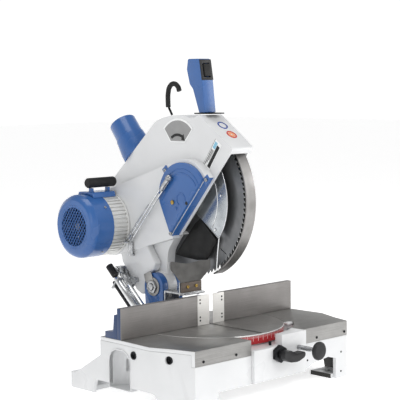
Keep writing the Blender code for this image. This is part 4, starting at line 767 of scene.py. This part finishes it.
def build_markings():
    """Plain panel with a direction arrow, a striped plate and two ring marks: no lettering."""
    face = HEAD_FACE - 0.0004
    centre = toward_top(0.060, 0.395)
    outer = sweep(centre, 0.0585, 42, 138, 12)
    panel = [toward_top(0.0835, 0.4075)] + outer + [toward_top(0.0400, 0.4075)]
    middle_y, middle_z = centre[0], centre[1] + 0.030
    border = [(middle_y + (y - middle_y) * 1.10, middle_z + (z - middle_z) * 1.16) for y, z in panel]
    rim = flat_shape([border], 0.0008, side_view(face - 0.0003))
    settle(rim, "panel_border", "head", PAPER)
    plate = flat_shape([panel], 0.0008, side_view(face - 0.0008))
    settle(plate, "angle_panel", "head", PANEL_GREY)
    base = toward_top(0.0610, 0.3900)
    shaft = sweep(base, 0.0345, 50, 118, 12)
    inner = sweep(base, 0.0285, 118, 50, 12)
    tip = [polar(base, 0.0240, 120), polar(base, 0.0300, 142), polar(base, 0.0390, 120)]
    arrow = flat_shape([shaft + tip[::-1] + inner], 0.0006, side_view(face - 0.0013))
    settle(arrow, "direction_arrow", "head", INK)
    corner = Vector(toward_top(-0.0590, 0.4150))
    along = (Vector(toward_top(-0.0170, 0.3560)) - corner).normalized()
    across = Vector((-along.y, along.x))
    if across.x > 0:
        across = -across
    length = 0.0700

    def strip(a0, a1, b0, b1):
        """Outline of a bar on the plate, in metres along it and across it."""
        return [tuple(corner + along * a + across * b) for a, b in ((a0, b0), (a1, b0), (a1, b1), (a0, b1))]

    ground = flat_shape([strip(0, length, -0.001, 0.0225)], 0.0006, side_view(face - 0.0002))
    settle(ground, "plate_ground", "head", PAPER)
    on_ground = side_view(face - 0.0006)
    bars = ((0.008, 0.064, 0.0125, 0.0210), (0.024, 0.066, 0.0030, 0.0046), (0.024, 0.058, 0.0064, 0.0078),
            (0.000, 0.068, 0.0000, 0.0006))
    dark = [flat_shape([strip(*bar)], 0.0006, on_ground) for bar in bars]
    settle(fused(dark), "plate_stripes", "head", INK)
    block_mark = flat_shape([strip(0.004, 0.020, 0.0030, 0.0112)], 0.0006, on_ground)
    settle(block_mark, "plate_blue_block", "head", INK_SKY)
    grey_bar = flat_shape([strip(0.024, 0.050, 0.0092, 0.0106)], 0.0006, on_ground)
    settle(grey_bar, "plate_grey_bar", "head", PANEL_GREY)
    build_ring_marks()


def build_ring_marks():
    """Two round film marks on the head's front slope."""
    low = Vector((0.0, -0.1100, TABLE + 0.3940))
    high = Vector((0.0, -0.0090, TABLE + 0.4660))
    up = (high - low).normalized()
    out = Vector((0.0, -up.z, up.y))
    across = Vector((1.0, 0.0, 0.0))
    marks = (("blue", 0.0005, 0.675, INK_BLUE, None), ("red", 0.0010, 0.405, INK_RED, INK_ORANGE))
    for name, x, share, finish, inner in marks:
        centre = low + (high - low) * share + out * 0.0003
        centre.x = x
        place = Matrix((across, up, out)).transposed().to_4x4()
        place.translation = centre + out * 0.0002
        ring = flat_shape([sweep((0, 0), 0.0125, 0, 350, 35), sweep((0, 0), 0.0095, 0, 350, 35)], 0.0006, place)
        settle(ring, f"ring_mark_{name}", "head", finish)
        if inner:
            disc = flat_shape([sweep((0, 0), 0.0080, 0, 350, 35), sweep((0, 0), 0.0028, 0, 340, 17)], 0.0005, place)
            settle(disc, f"ring_fill_{name}", "head", inner)


def build_handle():
    """Upright blue handle with the black switch surround and its button, drawn larger than their CAD solids."""
    handle = copy_of("handle", "grip")
    round_edges(handle, 0.0042, 4, 35)
    settle(handle, "operating_handle", "head", BLUE, 40, ("handle",))
    plate = copy_of("switch_plate", "switch_surround")
    stretch(plate, (1.36, 1.0, 1.18))
    round_edges(plate, 0.0005, 2)
    settle(plate, "switch_surround", "head", PLASTIC, replaced=("switch_plate",))
    button = copy_of("trigger", "switch_button")
    stretch(button, (1.30, 1.0, 1.12))
    round_edges(button, 0.0016, 3)
    settle(button, "switch_button", "trigger_body", RUBBER, replaced=("trigger",))
    paint("handle_gasket", RUBBER)


def build_outlet():
    """Blue dust spigot behind the head."""
    carry("dust_outlet", "dust_spigot", 0.0008, BLUE, 2, 25)


def build_hook():
    """Steel wire hook with a rubber sleeve."""
    low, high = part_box("cable_hook")
    x = (low.x + high.x) / 2
    foot = low.z
    wire = bent_tube([(x, 0.0985, foot + 0.0010), (x, 0.1030, foot + 0.0080), (x, 0.1095, foot + 0.0190),
                      (x, 0.1110, foot + 0.0300)], 0.0026, 5)
    settle(wire, "hook_wire", "head", BLACK_METAL, 60)
    path = [(x, 0.1108, foot + 0.0180), (x, 0.1115, foot + 0.0330), (x, 0.1105, foot + 0.0500),
            (x, 0.1050, foot + 0.0640), (x, 0.0920, foot + 0.0705), (x, 0.0780, foot + 0.0640),
            (x, 0.0735, foot + 0.0545)]
    sleeve = bent_tube(path, 0.0056, 6, 10)
    settle(sleeve, "hook_sleeve", "head", RUBBER, 60, ("cable_hook",))


def build_tie_rods():
    """Two thin stay rods from the arbor's cover down to the motor's foot, with a ball end and a clevis."""
    carry("tie_rod_bracket", "stay_rod_bracket", 0.0006, ZINC)
    low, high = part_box("tie_rod_long")
    x = (low.x + high.x) / 2
    top = Vector((x, low.y + 0.0050, high.z - 0.0040))
    foot = Vector((x, high.y - 0.0020, low.z + 0.0020))
    along = (foot - top).normalized()
    across = Vector((0.0, -along.z, along.y))
    if across.z < 0:
        across = -across
    rods = []
    for offset, start, end in ((-0.0042, 0.0, 0.0), (0.0042, 0.030, 0.0)):
        a = top + across * offset + along * start
        b = foot + across * offset - along * end
        body = cylinder(a, b - a, 0.0020, (b - a).length, 24)
        round_edges(body, 0.0005, 2)
        rods.append(body)
    settle(fused(rods), "stay_rods", "head", CHROME, 40, ("tie_rod_long",))
    fittings = []
    clevis = cylinder(top - along * 0.004, along, 0.0058, 0.0340, 32)
    pick(clevis, lambda face: face.normal.dot(along) > 0.9)
    bpy.ops.mesh.inset(thickness=0.0014)
    bpy.ops.mesh.extrude_region_move(TRANSFORM_OT_translate={"value": along * 0.004})
    leave()
    round_edges(clevis, 0.0009, 2)
    fittings.append(clevis)
    deselect()
    bpy.ops.mesh.primitive_uv_sphere_add(segments=28, ring_count=16, radius=0.0078, location=top - along * 0.006)
    ball = bpy.context.object
    bpy.ops.object.transform_apply(location=True, rotation=True, scale=True)
    pick(ball, lambda face: abs(face.center.x - x) > 0.0060)
    bpy.ops.mesh.inset(thickness=0.0006)
    bpy.ops.transform.resize(value=(0.92, 1, 1))
    leave()
    fittings.append(ball)
    end = cylinder(foot - along * 0.016, along, 0.0062, 0.0160, 6)
    round_edges(end, 0.0009, 2)
    fittings.append(end)
    settle(fused(fittings), "stay_rod_ends", "head", ZINC, 40)


# ------------------------------------------------------------------ motor
def build_motor():
    """Finned frame, fan cover, woven grille and the terminal box."""
    carry("fan_cover", "fan_cover_shell", 0.0, BLUE)
    low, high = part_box("motor_frame")
    length = high.x - low.x
    ring = cylinder((low.x, MOTOR.y, MOTOR.z), (1, 0, 0), 0.0690, length - 0.0056, 144)

    def on_fin(face):
        """True for two of every three 2.5 degree strips round the ring, which rise as a fin."""
        angle = math.degrees(math.atan2(face.center.z - MOTOR.z, face.center.y - MOTOR.y)) % 360
        return abs(face.normal.x) < 0.5 and int(angle // 2.5) % 3 != 0

    pick(ring, on_fin)
    bpy.ops.mesh.extrude_region_shrink_fatten(TRANSFORM_OT_shrink_fatten={"value": 0.0034})
    leave()
    settle(ring, "finned_frame", "head", DIECAST, 25, ("motor_frame",))
    flange = cylinder((high.x - 0.0055, MOTOR.y, MOTOR.z), (1, 0, 0), 0.0745, 0.0052, 96)
    round_edges(flange, 0.0010, 3)
    settle(flange, "frame_flange", "head", DIECAST)
    build_grille()
    carry("terminal_box", "terminal_casing", 0.0012, BLUE, 3)
    grip = copy_of("carry_grip", "grip")
    settle(grip, "carry_grip_rubber", "head", RUBBER, 40, ("carry_grip",))
    screw = socket_screw(0.0030, 0.0016, 20)
    places = []
    for angle in (-38, 52, 142, 232):
        y, z = polar((MOTOR.y, MOTOR.z), 0.0728, angle)
        places.append(((high.x - 0.060, y, z), (0, math.cos(math.radians(angle)), math.sin(math.radians(angle)))))
    set_copies(screw, places, "fan_cover_screws", "head", ZINC)


def build_grille():
    """Diamond lattice cut to a disc, with a plain rim."""
    low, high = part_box("fan_grille")
    radius = (high.y - low.y) / 2
    deselect()
    bpy.ops.mesh.primitive_grid_add(x_subdivisions=15, y_subdivisions=15, size=0.116)
    lattice = bpy.context.object
    lattice.data.transform(Matrix.Rotation(math.radians(45), 4, "Z"))
    lattice.data.transform(Matrix.Diagonal((0.86, 1.16, 1.0, 1.0)))
    pick(lattice, lambda face: math.hypot(face.center.x, face.center.y) > radius - 0.0035)
    bpy.ops.mesh.delete(type="FACE")
    leave()
    bars = lattice.modifiers.new("bars", "WIREFRAME")
    bars.thickness = 0.0030
    bars.use_even_offset = False
    apply_all(lattice)
    lattice.data.transform(side_view(low.x + 0.0012) @ Matrix.Translation((MOTOR.y, MOTOR.z, 0.0)))
    centre = (MOTOR.y, MOTOR.z)
    rim = flat_shape([sweep(centre, radius, 0, 355, 71), sweep(centre, radius - 0.0055, 0, 355, 71)], 0.0026,
                     side_view(low.x + 0.0013))
    settle(fused([lattice, rim]), "fan_lattice", "head", BLUE, 30, ("fan_grille",))


# ------------------------------------------------------------------ hinge, strut and deflector
def build_hinge():
    """Blue hinge fork with its bolt, lock nut and tab washer, the return strut and the down-stop post."""
    carry("hinge_bracket", "hinge_fork", 0.0014, BLUE, 3)
    carry("hinge_pin", "hinge_bolt", 0.0008, ZINC)
    nut_low, nut_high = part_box("hinge_nut")
    nut = copy_of("hinge_nut", "nut")
    stretch(nut, (1.0, 1.05, 1.05))
    round_edges(nut, 0.0014, 3)
    settle(nut, "hinge_lock_nut", "table_rotor", ZINC, replaced=("hinge_nut",))
    face = nut_low.x + 0.0078
    washer = cylinder((face, HINGE.y, HINGE.z), (-1, 0, 0), 0.0212, 0.0026, 56)
    round_edges(washer, 0.0009, 3)
    corners = ((-0.004, 0.014), (0.022, 0.006), (0.028, 0.026), (0.006, 0.036))
    tab = flat_shape([[(HINGE.y + y, HINGE.z + z) for y, z in corners]], 0.0024, side_view(face - 0.0030))
    round_edges(tab, 0.0008, 2)
    settle(fused([washer, tab]), "hinge_lock_washer", "table_rotor", IRON)
    build_strut()
    carry("strut_rod", "strut_piston_rod", 0.0006, CHROME)
    carry("strut_plate", "strut_anchor_plate", 0.0006, ZINC)
    paint("stop_post", CHROME)
    low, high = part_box("stop_post")
    centre = (low + high) / 2
    cap = cylinder((centre.x, centre.y, high.z - 0.0092), (0, 0, 1), 0.0056, 0.0094, 32)
    round_edges(cap, 0.0016, 3)
    settle(cap, "stop_post_rubber", "table_rotor", RUBBER)


def build_strut():
    """Two tubes side by side between end plates, with a knurled adjusting knob, and the arm's flank beside them."""
    low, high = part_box("strut_cylinder")
    x = (low.x + high.x) / 2
    bottom = Vector((x, *toward_top(0.1240, 0.0140)))
    top = Vector((x, *toward_top(0.2240, 0.1040)))
    along = (top - bottom).normalized()
    across = Vector((0.0, -along.z, along.y))
    carry("strut_cylinder", "strut_barrel_tube", 0.0006, CHROME)
    left = Vector((-1.0, 0.0, 0.0))
    tubes = []
    for shift in (left * 0.0185, left * 0.0120 - across * 0.0165):
        start = bottom + along * 0.0160 + shift
        body = cylinder(start, along, 0.0075, 0.1000, 32)
        pick(body, lambda face: face.normal.dot(along) > 0.9)
        bpy.ops.mesh.inset(thickness=0.0012)
        bpy.ops.mesh.extrude_region_move(TRANSFORM_OT_translate={"value": along * 0.0040})
        leave()
        round_edges(body, 0.0008, 2)
        tubes.append(body)
    settle(fused(tubes[:1]), "strut_spring_tube", "strut_barrel", CHROME, 40)
    settle(fused(tubes[1:]), "strut_guide_tube", "strut_barrel", BLACK_METAL, 40)
    for name, reach in (("upper", 0.1080), ("lower", 0.0200)):
        rise = 0.0105 if name == "upper" else 0.0040
        plate = block((-0.0175, -0.0250, -0.0018), (0.0, rise, 0.0018))
        frame_turn = Matrix((Vector((1, 0, 0)), across, along)).transposed().to_4x4()
        frame_turn.translation = bottom + along * reach + Vector((-0.0085, 0, 0))
        plate.data.transform(frame_turn)
        round_edges(plate, 0.0012, 3)
        settle(plate, f"strut_{name}_plate", "strut_barrel", ZINC)
    knob = cylinder(bottom + along * 0.1210 + left * 0.0200 + across * 0.0040, along, 0.0085, 0.0300, 30)
    pick(knob, lambda face: abs(face.normal.dot(along)) < 0.5 and face.index % 2 == 0)
    bpy.ops.mesh.inset(thickness=0.0002, use_individual=True)
    bpy.ops.mesh.extrude_region_shrink_fatten(TRANSFORM_OT_shrink_fatten={"value": -0.0008})
    leave()
    settle(knob, "strut_knurled_knob", "strut_barrel", PLASTIC, 30)
    corners = ((0.2450, 0.1560), (0.2380, 0.1240), (0.2140, 0.0960), (0.1890, 0.0630), (0.1720, 0.0545),
               (0.1580, 0.0560), (0.1545, 0.0740), (0.1570, 0.0880), (0.1450, 0.1040), (0.1280, 0.1125),
               (0.1200, 0.1300), (0.1500, 0.1700))
    leg = flat_shape([[toward_top(*corner) for corner in corners]], 0.0200, side_view(-0.0475))
    round_edges(leg, 0.0040, 4, 30)
    settle(leg, "arm_flank", "head", WHITE, 35)


def build_deflector():
    """Browned clamp bar with two brass screws and a curved rubber sheet standing in it."""
    carry("deflector_bracket", "deflector_shelf", 0.0006, ZINC)
    carry("deflector_bar", "deflector_clamp", 0.0006, BROWNED)
    low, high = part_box("deflector_bar")
    screw = socket_screw(0.0036, 0.0020, 24)
    places = [((x, low.y, (low.z + high.z) / 2 + 0.0015), (0, -1, 0)) for x in (-0.0585, -0.0330)]
    set_copies(screw, places, "clamp_screws", "table_rotor", BRASS)
    plan = [(-0.0080, -0.0080), (-0.0180, 0.0060), (-0.0320, 0.0150), (-0.0480, 0.0172), (-0.0620, 0.0180),
            (-0.0700, 0.0240), (-0.0745, 0.0340), (-0.0760, 0.0480)]
    deselect()
    bpy.ops.mesh.primitive_grid_add(x_subdivisions=36, y_subdivisions=12, size=1.0)
    sheet = bpy.context.object
    for vertex in sheet.data.vertices:
        run = vertex.co.x + 0.5
        share = run * (len(plan) - 1)
        i = min(int(share), len(plan) - 2)
        part = share - i
        x = plan[i][0] + (plan[i + 1][0] - plan[i][0]) * part
        y = plan[i][1] + (plan[i + 1][1] - plan[i][1]) * part
        rise = vertex.co.y + 0.5
        flare = min(1.0, rise * 1.6)
        straight = -0.0200 - 0.0520 * run
        x = straight + (x - straight) * flare
        y = 0.0177 + (y - 0.0177) * flare
        crest = 0.0450 + 0.0022 * math.cos(run * 7.0) + 0.0030 * (1.0 - run)
        vertex.co = (x, y, BAR_TOP - 0.0030 + crest * rise)
    wall = sheet.modifiers.new("sheet", "SOLIDIFY")
    wall.thickness = 0.0016
    apply_all(sheet)
    activate(sheet)
    bpy.ops.object.mode_set(mode="EDIT")
    bpy.ops.mesh.select_all(action="SELECT")
    bpy.ops.mesh.normals_make_consistent(inside=False)
    leave()
    settle(sheet, "deflector_rubber", "table_rotor", GREY_RUBBER, 60, ("deflector_flap",))
    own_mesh(sheet)


# ------------------------------------------------------------------ blade and guard
def build_blade():
    """Blade with 96 hooked teeth, brazed carbide tips, expansion slots and a bore."""
    teeth = 96
    centre = (ARBOR.y, ARBOR.z)
    outline = []
    for i in range(teeth):
        start_angle = 360 / teeth * i
        for turn, depth in ((0.00, 0.0), (0.08, 0.0050), (0.34, 0.0053), (0.62, 0.0024), (0.93, 0.0005)):
            outline.append(polar(centre, BLADE_RADIUS - 0.0004 - depth, start_angle + 360 / teeth * turn))
    holes = [sweep(centre, 0.0152, 0, 350, 35)]
    for quarter in range(4):
        side, back = [[polar(centre, BLADE_RADIUS - 0.012 - 0.020 * k / 4, angle + 90 * quarter + 2.0 * k / 4)
                       for k in range(5)] for angle in (45, 45.9)]
        holes.append(side + back[::-1])
    plate = flat_shape([outline, *holes], 0.0024, side_view(0.0))
    round_edges(plate, 0.0003, 1, 50)
    settle(plate, "saw_blade_plate", "arbor", BLADE, 30, ("saw_blade",))
    tips = []
    tip = block((-0.0016, -0.0010, -0.0040), (0.0016, 0.0009, 0.0))
    round_edges(tip, 0.0003, 1)
    for i in range(teeth):
        angle = 360 / teeth * (i - 0.035)
        made = tip.copy()
        made.data = tip.data.copy()
        bpy.context.scene.collection.objects.link(made)
        y, z = polar(centre, BLADE_RADIUS - 0.0001, angle)
        made.data.transform(Matrix.Translation((0.0, y, z)) @ Matrix.Rotation(math.radians(angle - 90), 4, "X"))
        tips.append(made)
    bpy.data.objects.remove(tip, do_unlink=True)
    settle(fused(tips), "carbide_tips", "arbor", CARBIDE)
    for node, finish in (("inner_flange", ZINC), ("outer_flange", ZINC), ("arbor_shaft", ZINC),
                         ("arbor_screw", BLACK_METAL), ("arbor_pulley", DIECAST), ("motor_pulley", DIECAST),
                         ("motor_rotor", ZINC), ("cooling_fan", PLASTIC), ("bearing_housing", DIECAST),
                         ("arbor_bearing", CHROME), ("drive_belt", RUBBER)):
        paint(node, finish)


def build_guard():
    """Sheet guard with beaded edges and rivets."""
    carry("guard_left_sector", "guard_sector_sheet", 0.0003, POLISHED, 1)
    build_shell()
    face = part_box("guard_left_sector")[0].x
    centre = (ARBOR.y, ARBOR.z)
    beads = []
    for radius, first, last in ((0.1350, 143, 216), (0.1045, 143, 214)):
        points = [(face - 0.0002, *polar(centre, radius, first + (last - first) * i / 10)) for i in range(11)]
        beads.append(bent_tube(points, 0.0011, 3))
    lower = [(face - 0.0002, *polar(centre, 0.052 + 0.083 * i / 3, 217.0)) for i in range(4)]
    beads.append(bent_tube(lower, 0.0008, 3))
    settle(fused(beads), "guard_edge_bead", "guard", CHROME, 60)
    rivet = cylinder((0, 0, 0), (0, 0, 1), 0.0036, 0.0020, 24)
    round_edges(rivet, 0.0014, 4)
    places = [((face, *polar(centre, 0.1145, a)), (-1, 0, 0)) for a in (173.0, 213.0)]
    set_copies(rivet, places, "guard_rivets", "guard", CHROME)
    paint("guard_stay", CHROME)
    build_curtain(centre)


def build_shell():
    """Spun aluminium shell on the blade's right: a flat cheek and a rolled rim that reaches down to the stay."""
    low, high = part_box("guard_right_shell")
    centre = (ARBOR.y, ARBOR.z)
    first, last = 142.0, 245.0
    outer = BLADE_RADIUS + 0.0065
    inner = outer - 0.0015
    cheek = flat_shape([sweep(centre, outer - 0.0004, first, last, 60) + sweep(centre, 0.0480, last, first, 16)],
                       0.0014, side_view(high.x - 0.0007))
    band = flat_shape([sweep(centre, outer, first, last, 72) + sweep(centre, inner, last, first, 72)],
                      high.x - low.x - 0.0012, side_view((high.x + low.x) / 2))
    lip = flat_shape([sweep(centre, outer + 0.0004, first, last, 72) + sweep(centre, inner - 0.0016, last, first, 72)],
                     0.0016, side_view(low.x + 0.0008))
    for piece in (cheek, band, lip):
        round_edges(piece, 0.0003, 1, 50)
    settle(fused([cheek, band, lip]), "guard_shell_sheet", "guard", GUARD_SHEET,
           replaced=("guard_right_shell",))


def build_curtain(centre):
    """Black rubber curtain below the sector, hanging in soft folds to a scalloped edge."""
    low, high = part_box("guard_flap")
    source = copy_of("guard_flap", "curtain")
    activate(source)
    bpy.ops.object.mode_set(mode="EDIT")
    bpy.ops.mesh.select_all(action="SELECT")
    bpy.ops.mesh.quads_convert_to_tris()
    bpy.ops.mesh.subdivide(number_cuts=4)
    leave()
    for vertex in source.data.vertices:
        along = (vertex.co.y - low.y) / (high.y - low.y)
        drop = (high.z - vertex.co.z) / (high.z - low.z)
        vertex.co.x -= 0.0011 * (1 + math.sin(along * 9.0 + 0.6)) * drop
    settle(source, "guard_rubber_curtain", "guard", RUBBER, 60, ("guard_flap",))


# ------------------------------------------------------------------ camera, light and floor
def set_camera():
    """Long lens from the left front, a little above the table."""
    azimuth, elevation, roll = math.radians(-43.46), math.radians(5.24), math.radians(-0.67)
    level = math.cos(elevation)
    back = Vector((math.sin(azimuth) * level, -math.cos(azimuth) * level, math.sin(elevation)))
    right = Vector((math.cos(azimuth), math.sin(azimuth), 0.0))
    up = back.cross(right)
    turned_right = right * math.cos(roll) + up * math.sin(roll)
    turned_up = up * math.cos(roll) - right * math.sin(roll)
    deselect()
    bpy.ops.object.camera_add()
    camera = bpy.context.object
    camera.name = "camera"
    placed = Matrix((turned_right, turned_up, back)).transposed().to_4x4()
    placed.translation = Vector((0.0, 0.0318, 0.4012)) + back * 2.898
    camera.matrix_world = placed
    camera.data.sensor_width = 36.0
    camera.data.lens = 116.9
    camera.data.clip_end = 50.0
    bpy.context.scene.camera = camera


def soft_light(name, place, target, size, power):
    """White rectangular lamp that faces its target."""
    deselect()
    bpy.ops.object.light_add(type="AREA", location=place)
    lamp = bpy.context.object
    lamp.name = name
    lamp.data.shape = "RECTANGLE"
    lamp.data.size, lamp.data.size_y = size
    lamp.data.energy = power
    lamp.rotation_euler = (Vector(place) - Vector(target)).to_track_quat("Z", "Y").to_euler()


def set_studio():
    """Pale floor, a world that is brightest at the horizon, and four soft lamps."""
    deselect()
    bpy.ops.mesh.primitive_plane_add(size=30.0, location=(0, 0, -0.0005))
    floor = bpy.context.object
    floor.name = "floor"
    material, _, shader, _ = start("pale_floor", Roughness=0.9, Specular_IOR_Level=0.1)
    shader.inputs["Base Color"].default_value = linear("#fafafa")
    shader.inputs["Emission Color"].default_value = linear("#ffffff")
    shader.inputs["Emission Strength"].default_value = 0.56
    floor.data.materials.append(material)
    world = bpy.data.worlds.new("studio")
    bpy.context.scene.world = world
    world.use_nodes = True
    sky = world.node_tree
    direction = add(sky, "TexCoord")
    axes = add(sky, "SeparateXYZ", {"Vector": (direction, "Generated")})
    height = add(sky, "MapRange", {"Value": (axes, "Z"), "From Min": 0.10, "From Max": 0.55, "To Min": 1.06,
                                   "To Max": 0.34})
    sky.links.new(height.outputs[0], sky.nodes["Background"].inputs["Strength"])
    sky.nodes["Background"].inputs["Color"].default_value = linear("#ffffff")
    middle = (0.0, 0.05, 0.35)
    soft_light("key", (0.3, -2.6, 2.4), middle, (1.6, 1.2), 30.0)
    soft_light("front_right", (2.2, -1.6, 1.2), middle, (0.9, 1.6), 12.0)
    soft_light("left_strip", (-2.6, -0.9, 1.5), middle, (0.4, 1.4), 3.5)
    soft_light("overhead", (-0.6, 0.4, 2.8), middle, (1.4, 1.4), 16.0)
    bpy.context.scene.view_settings.view_transform = "Standard"


build_base()
build_table()
build_fence()
build_turntable()
build_controls()
build_head()
build_motor()
build_hinge()
build_deflector()
build_blade()
build_guard()
set_camera()
set_studio()
